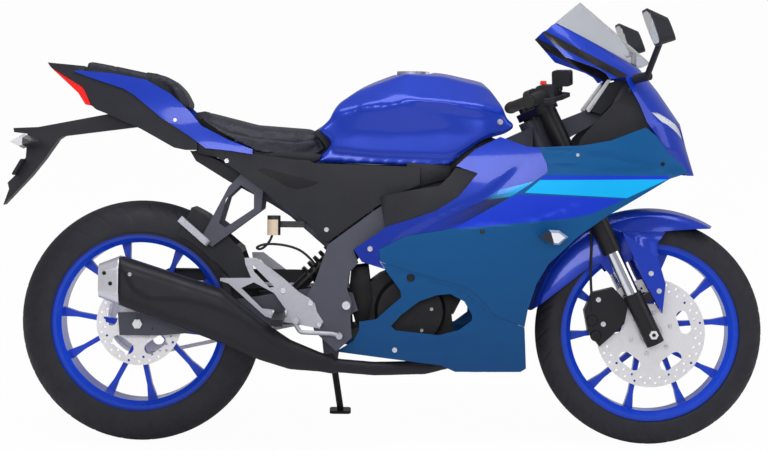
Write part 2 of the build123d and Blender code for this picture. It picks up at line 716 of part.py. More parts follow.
def tail_body(inset, outline):
    """A solid tail across both sides, inside the tail skin by the inset."""
    with BuildPart() as made:
        for x, low, middle, high in tail_table:
            with BuildSketch(Plane.YZ.offset(x)):
                Polygon((low - inset, 740), (middle - inset, 860), (high - inset, 990),
                        (inset - high, 990), (inset - middle, 860), (inset - low, 740), align=None)
        loft(ruled=True)
        with BuildSketch(Plane.XZ.offset(-200)):
            Polygon(*outline, align=None)
        extrude(amount=400, mode=Mode.INTERSECT)
    return made


cowl_low = [(-251, 987), (-244, 976), (-201, 951), (-157, 925), (-149, 915), (-128, 873), (-117, 864), (-90, 854),
            (1, 815), (89, 767), (119, 761), (149, 762)]
tail_cavity = tail_body(2 * panel_t + 1, [(-140, 915), (-117, 867), (-90, 857), (1, 818), (89, 770), (119, 764),
                                          (149, 765), (149, 800), (60, 900), (-60, 960), (-140, 952)])
with BuildPart() as tail_cowl:
    add(tail_body(panel_t + 0.3, cowl_low + [(149, 783), (133, 794), (57, 842), (-18, 902), (-45, 918),
                                    (-132, 946), (-153.5, 954), (-153.5, 978)]).part)
    add(tail_cavity.part, mode=Mode.SUBTRACT)
keep("tail_cowl", tail_cowl)

keep("tail_light", tail_body(6.0, [(-243, 974.5), (-201, 949.5), (-158, 924), (-150, 914), (-131, 874), (-147, 877),
                                   (-167, 907), (-205, 941)]))
with BuildPart() as tail_panels:
    add(tail_panel.part)
    mirror(tail_panel.part, about=Plane.XZ)
keep("tail_panels", tail_panels)

with BuildPart() as pillion_seat:
    with BuildSketch(Plane.XY.offset(840)):
        Polygon((-152, -43), (0, -64), (100, -82), (128, -70), (128, 70), (100, 82), (0, 64), (-152, 43),
                align=None)
    extrude(amount=160)
    with BuildSketch(Plane.XZ.offset(-100)):
        Polygon((-152, 961), (-150, 983), (-140, 987), (-64, 973), (12, 957), (54, 951), (89, 933),
                (112, 908), (125, 881), (127, 866), (110, 868), (60, 905), (0, 932), (-77, 952), align=None)
    extrude(amount=200, mode=Mode.INTERSECT)
keep("pillion_seat", pillion_seat)

# Columns: x, bottom z, top z, half-width at the bottom, half-width at the top.
seat_table = [(147, 846, 862, 88, 70), (200, 809, 849, 108, 90), (300, 758, 824, 120, 102),
              (400, 743, 817, 108, 92), (450, 747, 814, 86, 72), (485, 771, 786, 74, 62)]
with BuildPart() as rider_seat:
    for x, low, high, half_low, half_high in seat_table:
        with BuildSketch(Plane.YZ.offset(x)):
            with BuildLine():
                Polyline((-half_high, high - 12), (-half_low, low), (half_low, low), (half_high, high - 12))
                ThreePointArc((half_high, high - 12), (0, high), (-half_high, high - 12))
            make_face()
    loft(ruled=True)
keep("rider_seat", rider_seat)

# Tray between the seat rails.
tray_half, tray_t = rail_y - rail_r - face_gap, 3.0
with BuildPart() as undertray:
    with BuildSketch(Plane.XZ.offset(-tray_half)):
        Polygon((127, 760), (143, 733), (226, 682), (341, 622), (399, 585), (420, 600), (380, 660), (275, 727),
                (230, 722), (160, 752), align=None)
    extrude(amount=2 * tray_half)
    with BuildSketch(Plane.XZ.offset(tray_t - tray_half)):
        Polygon((120, 768), (146, 737), (228, 687), (343, 627), (399, 590), (450, 600), (450, 780), align=None)
    extrude(amount=2 * (tray_half - tray_t), mode=Mode.SUBTRACT)
keep("undertray", undertray)

# The number plate's carrier is a flat wing on the rear face of its arm.
plate_hole_y, plate_hole_r = 72.5, 3.5
carrier_t = 5.0
carrier = Plane(origin=(-320, 0, 715), x_dir=(0, 1, 0), z_dir=(-0.864, 0, 0.504))
with BuildPart() as plate_arm:
    with BuildSketch(Plane.XZ.offset(-26)):
        Polygon((-90, 853.6), (-274, 818), (-339, 815), (-337, 804), (-302, 800), (-306, 739), (-334, 691),
                (-353, 672), (-349, 656), (-364, 614), (-294, 689), (-258, 734), (-222, 786), (-208, 795),
                (-13, 820.6), align=None)
    extrude(amount=52)
    with BuildSketch(carrier):
        RectangleRounded(2 * plate_hole_y + 35, 46, 8)
    extrude(amount=-carrier_t)
    with BuildSketch(carrier):
        with Locations((plate_hole_y, 0), (-plate_hole_y, 0)):
            Circle(plate_hole_r)
    extrude(amount=-carrier_t, mode=Mode.SUBTRACT)
keep("plate_arm", plate_arm)

with BuildPart() as rear_signal:
    with BuildSketch(Plane.XZ.offset(26)):
        with Locations((-290, 780)):
            Circle(7)
    extrude(amount=74)
    with BuildSketch(Plane.XZ.offset(100)):
        Polygon((-329, 779), (-299, 800), (-247, 780), (-299, 761), align=None)
    with BuildSketch(Plane.XZ.offset(168)):
        Polygon((-322, 779), (-299, 792), (-262, 780), (-299, 768), align=None)
    loft(ruled=True)
    mirror(about=Plane.XZ)
keep("rear_signals", rear_signal)

# ---- tank ----
# Columns: x, crown z, then y and z of shoulder, edge, waist and foot.
tank_table = [(440, 870, 60, 864, 96, 836, 98, 790, 96, 700), (500, 905, 62, 897, 104, 860, 100, 800, 98, 700),
              (580, 935, 72, 925, 132, 880, 112, 810, 112, 700), (680, 973, 84, 961, 158, 892, 130, 810, 128, 700),
              (780, 969, 90, 956, 170, 890, 148, 815, 144, 700), (880, 947, 84, 933, 160, 880, 156, 820, 148, 700),
              (966, 905, 66, 892, 132, 862, 134, 820, 128, 700)]
tank_outline = [(447, 731), (490, 771), (492, 787), (458, 815), (488, 842), (501, 870), (513, 886), (576, 930),
                (654, 967), (690, 974), (721, 974), (819, 962), (888, 944), (908, 916), (932, 880), (943, 848),
                (962, 834), (962, 824), (938, 809), (884, 794), (835, 759), *reversed(tank_floor), (597, 728)]
lid_x, lid_z, lid_r = 700.0, 963.0, 38.0
with BuildPart() as fuel_tank:
    for x, crown, y1, z1, y2, z2, y3, z3, y4, z4 in tank_table:
        with BuildSketch(Plane.YZ.offset(x)):
            Polygon((0, crown), (y1, z1), (y2, z2), (y3, z3), (y4, z4), (-y4, z4), (-y3, z3), (-y2, z2),
                    (-y1, z1), align=None)
    loft(ruled=True)
    with BuildSketch(Plane.XZ.offset(-200)):
        Polygon(*tank_outline, align=None)
    extrude(amount=400, mode=Mode.INTERSECT)
    # Dished seat of the lid, which lies level with the crown.
    with BuildSketch(Plane.XY.offset(lid_z)):
        with Locations((lid_x, 0)):
            Circle(lid_r + 16)
    extrude(amount=30, mode=Mode.SUBTRACT)
keep("fuel_tank", fuel_tank)

lid_t = 8.0
lid_hinge = Vector(lid_x + lid_r + 6, 0, lid_z + face_gap + lid_t / 2)
with BuildPart() as fuel_lid:
    with BuildSketch(Plane.XY.offset(lid_z + face_gap)):
        with Locations((lid_x, 0)):
            Circle(lid_r)
        with Locations((lid_x + lid_r, 0)):
            Rectangle(12, 22)
    extrude(amount=lid_t)
    with BuildSketch(Plane.XZ.offset(-11)):
        with Locations((lid_hinge.X, lid_hinge.Z)):
            Circle(lid_t / 2)
    extrude(amount=22)
keep("fuel_lid", fuel_lid)

# ---- side covers and fairing ----
waist_levels = (520, 600, 680, 770)
waist_table = [(190, 104, 106, 108, 108), (300, 112, 116, 120, 120), (440, 122, 128, 132, 132),
               (520, 128, 134, 138, 138), (620, 134, 140, 144, 144), (726, 140, 146, 150, 150)]
waist_skin = skin(waist_levels, waist_table)
side_cover_outline = [(134, 760), (160, 764), (236, 763), (296, 753), (350, 746), (400, 739), (436, 738), (452, 730),
                      (722, 723), (722, 672), (684, 662), (610, 619), (490, 529.5), (478, 527), (464, 536),
                      (438, 575), (344, 641), (265, 699), (198, 745)]
side_cover = panel(waist_skin, side_cover_outline)

fairing_levels = (180, 260, 360, 470, 570, 650, 740, 840)
fairing_table = [(500, 98, 112, 126, 136, 142, 144, 142, 138), (620, 104, 122, 140, 154, 164, 168, 164, 155),
                 (760, 108, 130, 152, 170, 182, 187, 182, 168), (880, 108, 132, 156, 176, 190, 195, 190, 172),
                 (1000, 102, 128, 154, 176, 192, 198, 192, 176), (1120, 90, 116, 142, 166, 184, 192, 190, 176),
                 (1250, 70, 96, 122, 146, 166, 176, 176, 166), (1340, 50, 76, 102, 126, 146, 156, 156, 147),
                 (1430, 26, 50, 74, 96, 114, 124, 124, 116)]
fairing_skin = skin(fairing_levels, fairing_table)
cover_skin = skin(fairing_levels, fairing_table, panel_t + face_gap)

# Seams that two panels share: side fairing to lower fairing, side fairing to mid panel.
foot_seam = [(992, 315), (918, 344), (864, 401), (835, 420), (728, 449), (622, 480)]
mid_seam = [(622, 480), (619, 512), (688, 548), (781, 563), (819, 575), (957, 653), (1010, 689), (1044, 712),
            (1042, 732), (1022, 775)]
side_fairing_outline = [*mid_seam, (1134, 781), (1206, 794), (1296, 828), (1323, 807), (1352, 768), (1411, 713),
                        (1359, 697), (1199, 603), (1124, 550), (1049, 478), (1020, 427), (999, 359), *foot_seam[:-1]]
lower_fairing_outline = [*reversed(foot_seam), (993, 303), (999, 206), (985, 197), (817, 196), (781, 213),
                         (624, 232), (509, 246), (555, 275), (569, 303), (569, 325), (612, 332), (676, 390),
                         (674, 407), (634, 461)]
fairing_window = [(651, 315), (676, 344), (722, 380), (765, 396), (801, 400), (837, 381), (858, 345), (857, 331),
                  (823, 306), (773, 293), (662, 304)]
mid_panel_outline = [(554, 511), (575, 479), (634, 461), *mid_seam, (992, 777), (924, 801),
                     (861, 769), (812, 726), (867, 708), (819, 649), (763, 613), (717, 596), (639, 571)]
# The frame cover slips under the mid panel's edge.
frame_cover_outline = [(620, 646), (634, 562), (720, 586), (770, 603), (828, 640), (878, 708), (812, 722),
                       (798, 703), (770, 675), (700, 664)]
belly_boss = (640.0, 262.0)


def bossed(made, levels, table, place, seat_y):
    """A panel with a round boss that reaches in from its skin to a seat at that distance from the middle."""
    with BuildPart() as held:
        add(made.part)
        with BuildSketch(Plane.XZ.offset(seat_y + face_gap)):
            with Locations(place):
                Circle(stay_r)
        extrude(amount=width_at(levels, table, *place) - panel_t / 2 - seat_y - face_gap)
    return held


keep_both("side_fairings", panel(fairing_skin, side_fairing_outline))
lower_fairing = panel(fairing_skin, lower_fairing_outline, fairing_window)
keep_both("lower_fairings", bossed(lower_fairing, fairing_levels, fairing_table, belly_boss, engine_half))
mid_panel = panel(fairing_skin, mid_panel_outline)
keep_both("mid_panels", bossed(mid_panel, fairing_levels, fairing_table, panel_stay, panel_stay_y))
frame_cover = panel(cover_skin, frame_cover_outline)
side_cover = bossed(side_cover, waist_levels, waist_table, cover_stud, cover_stud_y)
with BuildPart() as waist_covers:
    add(side_cover.part)
    add(frame_cover.part)
keep_both("waist_covers", waist_covers)

with BuildPart() as front_signal:
    with BuildSketch(Plane.XZ.offset(183)):
        with Locations((1055, 548)):
            Circle(8)
    extrude(amount=34)
    with BuildSketch(Plane.XZ.offset(214)):
        Polygon((1016, 551), (1041, 568), (1072, 566), (1095, 550), (1072, 529), (1039, 531), align=None)
    with BuildSketch(Plane.XZ.offset(262)):
        Polygon((1022, 551), (1044, 562), (1068, 561), (1083, 550), (1066, 536), (1042, 537), align=None)
    loft(ruled=True)
    add(fairing_skin.part, mode=Mode.SUBTRACT)
    mirror(about=Plane.XZ)
keep("front_signals", front_signal)

# ---- nose ----
# Columns: z, x of the nose at the middle, x where the half-width is taken, half-width there.
nose_table = [(704, 1443, 1392, 44), (773, 1421, 1300, 128), (838, 1404, 1262, 148), (923, 1345, 1180, 156),
              (982, 1297, 1110, 158), (1060, 1205, 1040, 150), (1110, 1140, 990, 140)]
nose_outline = [(1450, 703), (1446, 730), (1425, 775), (1415, 812), (1410, 840), (1350, 925), (1303, 980),
                (1292, 981), (1068, 1093), (1055, 1087), (1031, 1063), (1019, 1048), (1021, 1036), (1051, 1018),
                (1093, 1004), (1129, 992), (1172, 977), (1193, 965), (1205, 950), (1246, 957), (1252, 938), (1281, 889), (1301, 841), (1327, 809),
                (1356, 769), (1404, 724), (1420, 703)]


def nose_shell(shift):
    """A thin shell round the nose, ruled through level arcs; the shift moves it inwards."""
    with BuildPart() as made:
        for z, tip, back, half in nose_table:
            with BuildSketch(Plane.XY.offset(z)):
                with BuildLine():
                    ThreePointArc((back, shift - half), (tip - shift, 0), (back, half - shift))
                    Line((back, half - shift), (back, half - shift - panel_t))
                    ThreePointArc((back, half - shift - panel_t), (tip - shift - panel_t, 0),
                                  (back, shift + panel_t - half))
                    Line((back, shift + panel_t - half), (back, shift - half))
                make_face()
        loft(ruled=True)
    return made


def nose_form(shift):
    """The solid that the nose shell of the same shift wraps."""
    with BuildPart() as made:
        for z, tip, back, half in nose_table:
            with BuildSketch(Plane.XY.offset(z)):
                with BuildLine():
                    ThreePointArc((back, shift - half), (tip - shift, 0), (back, half - shift))
                    Line((back, half - shift), (back, shift - half))
                make_face()
        loft(ruled=True)
    return made


lamp_outline = [(30, 782), (118, 842), (128, 868), (110, 866), (26, 812)]
with BuildPart() as upper_cowl:
    add(nose_shell(0).part)
    with BuildSketch(Plane.XZ.offset(-200)):
        Polygon(*nose_outline, align=None)
    extrude(amount=400, mode=Mode.INTERSECT)
    with BuildSketch(Plane.YZ.offset(1200)):
        Polygon(*lamp_outline, align=None)
        Polygon(*[(-y, z) for y, z in lamp_outline], align=None)
    extrude(amount=300, mode=Mode.SUBTRACT)
keep("upper_cowl", upper_cowl)

with BuildPart() as headlamps:
    add(nose_shell(panel_t).part)
    with BuildSketch(Plane.YZ.offset(1200)):
        Polygon(*lamp_outline, align=None)
        Polygon(*[(-y, z) for y, z in lamp_outline], align=None)
    extrude(amount=300, mode=Mode.INTERSECT)
keep("headlamps", headlamps)

# Columns: x, z of the middle, half-width, z of the edge.
screen_table = [(1060, 1225, 140, 1070), (1143, 1154, 134, 1030), (1222, 1087, 120, 985), (1292, 1027, 96, 950),
                (1330, 995, 62, 948)]
with BuildPart() as windscreen:
    for x, top, half, edge in screen_table:
        with BuildSketch(Plane.YZ.offset(x)):
            with BuildLine():
                ThreePointArc((-half, edge), (0, top), (half, edge))
                Line((half, edge), (half - 3, edge))
                ThreePointArc((half - 3, edge), (0, top - 3), (3 - half, edge))
                Line((3 - half, edge), (-half, edge))
            make_face()
    loft(ruled=True)
    with BuildSketch(Plane.XZ.offset(-200)):
        Polygon((1143, 1158), (1068, 1094), (1292, 982), (1326, 997), (1328, 1001), align=None)
    extrude(amount=400, mode=Mode.INTERSECT)
keep("windscreen", windscreen)

with BuildPart() as inner_cowl_side:
    # Boss that carries the upper cowl on the nose stay's end.
    with BuildSketch(Plane.XZ.offset(120)):
        with Locations((1262, 925)):
            Circle(stay_r)
    extrude(amount=60)
    add(nose_form(panel_t + face_gap).part, mode=Mode.INTERSECT)
    with BuildSketch(Plane.XZ.offset(120)):
        Polygon((1246, 950), (1290, 872), (1322, 800), (1296, 790), (1209, 768), (1120, 756), (1134, 800),
                (1213, 885), align=None)
    extrude(amount=panel_t)
keep_both("inner_cowls", inner_cowl_side)

with BuildPart() as dash:
    with BuildSketch(Plane.XZ.offset(-76)):
        Polygon((1159, 873), (1216, 945), (1247, 952), (1249, 925), (1236, 908), (1190, 861), align=None)
    extrude(amount=152)
    add(nose_stay.part, mode=Mode.SUBTRACT)
keep("dash", dash)

with BuildPart() as mirror_arm:
    add(rod((1272, -120, 952), (1304, -156, 960), 12).part)
    add(rod((1298, -148, 957), (1318, -250, 1042), 8).part)
    with BuildSketch(Plane(origin=(1290, -290, 1074), x_dir=(0, 1, 0), z_dir=(0.93, 0, 0.36))):
        RectangleRounded(140, 96, 26)
    with BuildSketch(Plane(origin=(1336, -284, 1070), x_dir=(0, 1, 0), z_dir=(0.93, 0, 0.36))):
        RectangleRounded(96, 60, 20)
    loft(ruled=True)
    add(nose_shell(0).part, mode=Mode.SUBTRACT)
keep_both("mirrors", mirror_arm)

# ---- steering ----
lower_clamp_low, top_clamp_low, clip_low = 484.0, 636.0, 659.0
clamp_t, top_clamp_t, clip_t = 32.0, 20.0, 28.0
leg_top = 692.0
slider_low, slider_seat = 235.0, 355.0
casting_high, casting_low = 117.0, -26.0
casting_r = 24.0
with BuildPart() as triple_clamp:
    for low, thick in ((lower_clamp_low, clamp_t), (top_clamp_low, top_clamp_t)):
        with BuildSketch(steer.offset(low)):
            with Locations((leg_x, fork_leg_y), (leg_x, -fork_leg_y)):
                Circle(fork_outer_r + 7)
            Circle(26)
            make_hull()
            with Locations((leg_x, fork_leg_y), (leg_x, -fork_leg_y)):
                Circle(fork_outer_r, mode=Mode.SUBTRACT)
        extrude(amount=thick)
    with BuildSketch(steer.offset(lower_clamp_low)):
        Circle(stem_r)
    extrude(amount=top_clamp_low + top_clamp_t + 12 - lower_clamp_low)
keep("triple_clamp", triple_clamp)

with BuildPart() as fork_outer:
    with BuildSketch(steer.offset(slider_low)):
        with Locations((leg_x, -fork_leg_y)):
            Circle(fork_outer_r)
    extrude(amount=leg_top - slider_low)
    with BuildSketch(steer.offset(slider_low)):
        with Locations((leg_x, -fork_leg_y)):
            Circle(fork_inner_r)
    extrude(amount=slider_seat - slider_low, mode=Mode.SUBTRACT)
    mirror(about=Plane.XZ)
keep("fork_outer_tubes", fork_outer)

with BuildPart() as fork_inner:
    with BuildSketch(steer.offset(casting_high - 60)):
        with Locations((leg_x, -fork_leg_y)):
            Circle(fork_inner_r)
    extrude(amount=slider_seat - casting_high + 60)
    mirror(about=Plane.XZ)
keep("fork_inner_tubes", fork_inner)

with BuildPart() as fork_casting:
    with BuildSketch(steer.offset(casting_low)):
        with Locations((leg_x, -fork_leg_y)):
            Circle(casting_r)
    extrude(amount=casting_high - casting_low)
    # Lug that carries the guard ahead of the leg.
    with BuildSketch(steer.offset(80)):
        with Locations((leg_x + 32, -fork_leg_y)):
            Rectangle(40, 14)
    extrude(amount=22)
    with BuildSketch(steer.offset(casting_high - 60)):
        with Locations((leg_x, -fork_leg_y)):
            Circle(fork_inner_r)
    extrude(amount=60, mode=Mode.SUBTRACT)
    with BuildSketch(front_wheel_side.offset(fork_leg_y - 40)):
        Circle(axle_r)
    extrude(amount=80, mode=Mode.SUBTRACT)
    mirror(about=Plane.XZ)
keep("fork_castings", fork_casting)

with BuildPart() as front_axle:
    axle_half = fork_leg_y + casting_r + 10
    with BuildSketch(front_wheel_side.offset(-axle_half)):
        Circle(axle_r)
    extrude(amount=2 * axle_half)
    for face in (-axle_half, axle_half - 9):
        with BuildSketch(front_wheel_side.offset(face)):
            RegularPolygon(12, 6)
        extrude(amount=9)
    collar = fork_leg_y - casting_r - front_hub_half - face_gap
    for face in (casting_r - fork_leg_y, front_hub_half + face_gap):
        with BuildSketch(front_wheel_side.offset(face)):
            Circle(12)
        extrude(amount=collar)
    with BuildSketch(front_wheel_side.offset(-axle_half)):
        Circle(axle_bore_r)
    extrude(amount=2 * axle_half, mode=Mode.SUBTRACT)
keep("front_axle", front_axle)

fender_r = front_tyre_r + 22
guard_outline = [(1245, 559), (1301, 435), (1349, 350), (1357, 427), (1337, 492), (1333, 528), (1356, 560)]
with BuildPart() as front_fender:
    with BuildSketch(front_section):
        Polygon((180, -64), (296, -64), (fender_r - 6, -52), (fender_r + 4, 0), (fender_r - 6, 52), (296, 64),
                (180, 64), (180, 61), (294, 61), (fender_r - 9, 49), (fender_r, 0), (fender_r - 9, -49), (294, -61),
                (180, -61), align=None)
    revolve(axis=Axis(front_hub, (0, -1, 0)), revolution_arc=172)
    with BuildSketch(Plane.XZ.offset(-100)):
        Polygon((1493, 572), (1478, 567), (1433, 566), (1356, 560), (1333, 528), (1301, 500), (1262, 480),
                (1218, 446), (1192, 476), (1153, 457), (1042, 370), (1014, 350), (980, 350), (1080, 560),
                (1200, 660), (1400, 680), (1520, 620), align=None)
    extrude(amount=200, mode=Mode.INTERSECT)
with BuildPart() as fender_guard:
    with BuildSketch(Plane.XZ.offset(61)):
        Polygon(*guard_outline, align=None)
    extrude(amount=43)
    with BuildSketch(Plane.XZ.offset(64)):
        Polygon((1235, 559), (1291, 435), (1343, 342), (1351, 427), (1331, 490), (1327, 526), (1344, 552), (1244, 554),
                align=None)
    extrude(amount=37, mode=Mode.SUBTRACT)
    mirror(about=Plane.XZ)
with BuildPart() as fender:
    add(front_fender.part)
    add(fender_guard.part)
keep("front_fender", fender)

with BuildPart() as front_caliper:
    with BuildSketch(Plane.XZ.offset(45)):
        Polygon((1171, 401), (1225, 414), (1264, 372), (1254, 322), (1219, 288), (1190, 262), (1160, 300), (1150, 354),
                align=None)
    extrude(amount=40)
    with BuildSketch(front_wheel_side.offset(front_disc_face - 1.5)):
        Circle(146)
    extrude(amount=7, mode=Mode.SUBTRACT)
    with BuildSketch(steer.offset(casting_low)):
        with Locations((leg_x, -fork_leg_y)):
            Circle(casting_r)
    extrude(amount=casting_high - casting_low, mode=Mode.SUBTRACT)
keep("front_caliper", front_caliper)

# Handlebars: a split clamp on each leg, a bar that sweeps back and down, grip, switches and lever.
bar_socket = 42.0
bar_r, bar_length = 11.0, 268.0
lever_low, lever_length = 56.0, 28.0
switch_low, switch_length = 90.0, 44.0
grip_low, grip_length = 136.0, 126.0
bar_start = steer.from_local_coords(Vector(leg_x + bar_socket, -fork_leg_y, clip_low + clip_t / 2))
bar_way = Vector(-41, -120, -16).normalized()
with BuildPart() as clip_on:
    with BuildSketch(steer.offset(clip_low)):
        with Locations((leg_x, -fork_leg_y)):
            Circle(fork_outer_r + 7)
        with Locations((leg_x + bar_socket / 2 + 10, -fork_leg_y)):
            Rectangle(bar_socket, 28)
    extrude(amount=clip_t)
    add(rod(bar_start, bar_start + bar_way * bar_length, bar_r).part)
    with BuildSketch(steer.offset(clip_low)):
        with Locations((leg_x, -fork_leg_y)):
            Circle(fork_outer_r)
    extrude(amount=clip_t, mode=Mode.SUBTRACT)
    mirror(about=Plane.XZ)
keep("clip_ons", clip_on)

bar_ahead = Vector(0, 0, 1).cross(bar_way).normalized()
bar_section = Plane(origin=bar_start, x_dir=bar_ahead, z_dir=bar_way)
with BuildPart() as grip:
    with BuildSketch(bar_section.offset(grip_low)):
        Circle(16)
        Circle(bar_r, mode=Mode.SUBTRACT)
    extrude(amount=grip_length)
    with BuildSketch(bar_section.offset(grip_low + grip_length)):
        Circle(17)
        Circle(bar_r, mode=Mode.SUBTRACT)
    extrude(amount=bar_length - grip_low - grip_length)
    with BuildSketch(bar_section.offset(bar_length)):
        Circle(15)
    extrude(amount=14)
    mirror(about=Plane.XZ)
keep("grips", grip)

with BuildPart() as switchgear:
    with BuildSketch(bar_section.offset(switch_low)):
        with Locations((4, 2)):
            RectangleRounded(50, 50, 14)
        Circle(bar_r, mode=Mode.SUBTRACT)
    extrude(amount=switch_length)
    mirror(about=Plane.XZ)
keep("switchgear", switchgear)

# Blade of the hand lever, along the bar and ahead of it.
lever_outline = [(62, 20), (72, 46), (90, 60), (170, 62), (238, 54), (256, 44), (258, 34), (246, 32), (232, 42),
                 (170, 50), (96, 48), (86, 38), (80, 20)]
lever_plane = Plane(origin=bar_start, x_dir=bar_way, z_dir=bar_way.cross(bar_ahead))
lever_t = 10.0
with BuildPart() as lever:
    with BuildSketch(bar_section.offset(lever_low)):
        with Locations((8, 0)):
            Rectangle(46, 30)
    extrude(amount=lever_length)
    with BuildSketch(lever_plane.offset(-lever_t / 2)):
        Polygon(*lever_outline, align=None)
    extrude(amount=lever_t)
    with BuildSketch(bar_section.offset(lever_low)):
        Circle(bar_r)
    extrude(amount=lever_length, mode=Mode.SUBTRACT)
    mirror(about=Plane.XZ)
    # Brake fluid reservoir ahead of and above the right-hand lever.
    with BuildSketch(bar_section.offset(lever_low - 4)):
        with Locations((36, 40)):
            RectangleRounded(46, 40, 6)
        with Locations((24, 18)):
            Rectangle(16, 20)
    extrude(amount=lever_length + 8)
keep("levers", lever)

# ---- parking place: leaned onto the stand, origin on the ground under the middle ----
tilt = Location((0, 0, 0), (-lean, 0, 0))
tilted = {name: piece.moved(tilt) for name, piece in pieces.items()}
whole = Compound(children=list(tilted.values())).bounding_box()
parked = Location((-whole.center().X, -whole.center().Y, -whole.min.Z)) * tilt

os.makedirs("parts", exist_ok=True)
for name, piece in pieces.items():
    placed = piece.moved(parked)
    placed.label = name
    export_step(placed, f"parts/{name}.step")
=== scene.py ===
import json
import math
import bmesh
import bpy
import numpy as np
from mathutils import Matrix, Vector
from mathutils.bvhtree import BVHTree


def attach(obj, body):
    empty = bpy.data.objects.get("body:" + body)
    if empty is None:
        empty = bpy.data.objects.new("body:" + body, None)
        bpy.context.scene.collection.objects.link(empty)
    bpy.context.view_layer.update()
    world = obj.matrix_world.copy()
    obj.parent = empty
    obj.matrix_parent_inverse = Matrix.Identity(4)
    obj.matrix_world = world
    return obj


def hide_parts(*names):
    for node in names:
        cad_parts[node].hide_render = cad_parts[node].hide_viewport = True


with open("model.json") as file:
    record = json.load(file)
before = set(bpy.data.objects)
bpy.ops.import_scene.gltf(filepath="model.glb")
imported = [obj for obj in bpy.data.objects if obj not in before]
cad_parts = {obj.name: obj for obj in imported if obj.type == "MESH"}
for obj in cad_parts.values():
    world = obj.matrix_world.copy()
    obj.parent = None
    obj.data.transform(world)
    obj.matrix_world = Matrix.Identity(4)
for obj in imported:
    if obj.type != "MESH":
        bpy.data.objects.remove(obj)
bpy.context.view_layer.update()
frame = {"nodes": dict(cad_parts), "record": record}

nodes = frame["nodes"]

# The bike is drawn upright, in millimetres, and parked by a lean and a shift.
LEAN = math.radians(10.0)
SHIFT = Vector((-628.45, -170.474, 0.0))
UPRIGHT_TO_PARKED = Matrix.Rotation(-LEAN, 3, "X")
PARKED_TO_UPRIGHT = UPRIGHT_TO_PARKED.inverted()
REAR_HUB, FRONT_HUB = (0, 313.9), (1325, 295.9)
RIGHT, LEFT = -1, 1
BOTH = (RIGHT, LEFT)
WELD = 2e-5


def park(x, y, z):
    """A place on the upright bike, in millimetres, as a parked place in metres."""
    return (UPRIGHT_TO_PARKED @ Vector((x, y, z)) + SHIFT) / 1000


def park_way(x, y, z):
    """A direction on the upright bike, turned as the bike is parked."""
    return (UPRIGHT_TO_PARKED @ Vector((x, y, z))).normalized()


def unpark(co):
    """A parked place in metres as a place on the upright bike in millimetres."""
    return PARKED_TO_UPRIGHT @ (Vector(co) * 1000 - SHIFT)


def placed(name, data):
    """A new object in the scene."""
    obj = bpy.data.objects.new(name, data)
    bpy.context.scene.collection.objects.link(obj)
    return obj


# ---- camera ----
ROLL = math.radians(0.459)
CAMERA_AT = (629.5, -5200, 763.8)
LENS, SENSOR_WIDTH = 92.857, 36.0
PICTURE_WIDTH, PICTURE_SHIFT = 768.0, -75.0
camera_data = bpy.data.cameras.new("camera")
camera_data.lens = LENS
camera_data.sensor_width = SENSOR_WIDTH
camera_data.shift_y = PICTURE_SHIFT / PICTURE_WIDTH
camera_data.clip_end = 100.0
camera = placed("camera", camera_data)
across = park_way(math.cos(ROLL), 0, math.sin(ROLL))
upward = park_way(-math.sin(ROLL), 0, math.cos(ROLL))
ahead = park_way(0, 1, 0)
turn = Matrix((across, upward, -ahead)).transposed().to_4x4()
camera.matrix_world = Matrix.Translation(park(*CAMERA_AT)) @ turn
bpy.context.scene.camera = camera
bpy.context.scene.view_settings.view_transform = "Standard"


# ---- shader words ----
def add_node(tree, kind, settings=None, inputs=None):
    """Adds one node to a tree: settings first, then the values or links of its sockets."""
    made = tree.nodes.new(kind)
    for key, value in (settings or {}).items():
        setattr(made, key, value)
    for key, value in (inputs or {}).items():
        if isinstance(value, bpy.types.NodeSocket):
            tree.links.new(value, made.inputs[key])
        else:
            made.inputs[key].default_value = value
    return made


class Flow:
    """A shader socket that takes part in sums and comparisons."""

    def __init__(self, finish, socket):
        self.finish = finish
        self.socket = socket

    def _sum(self, operation, first, second):
        return self.finish.node("ShaderNodeMath", {"operation": operation}, [first, second])

    def __add__(self, other):
        return self._sum("ADD", self, other)

    def __radd__(self, other):
        return self._sum("ADD", other, self)

    def __sub__(self, other):
        return self._sum("SUBTRACT", self, other)

    def __rsub__(self, other):
        return self._sum("SUBTRACT", other, self)

    def __mul__(self, other):
        return self._sum("MULTIPLY", self, other)

    def __rmul__(self, other):
        return self._sum("MULTIPLY", other, self)

    def __gt__(self, other):
        return self._sum("GREATER_THAN", self, other)

    def __lt__(self, other):
        return self._sum("LESS_THAN", self, other)


finishes = {}


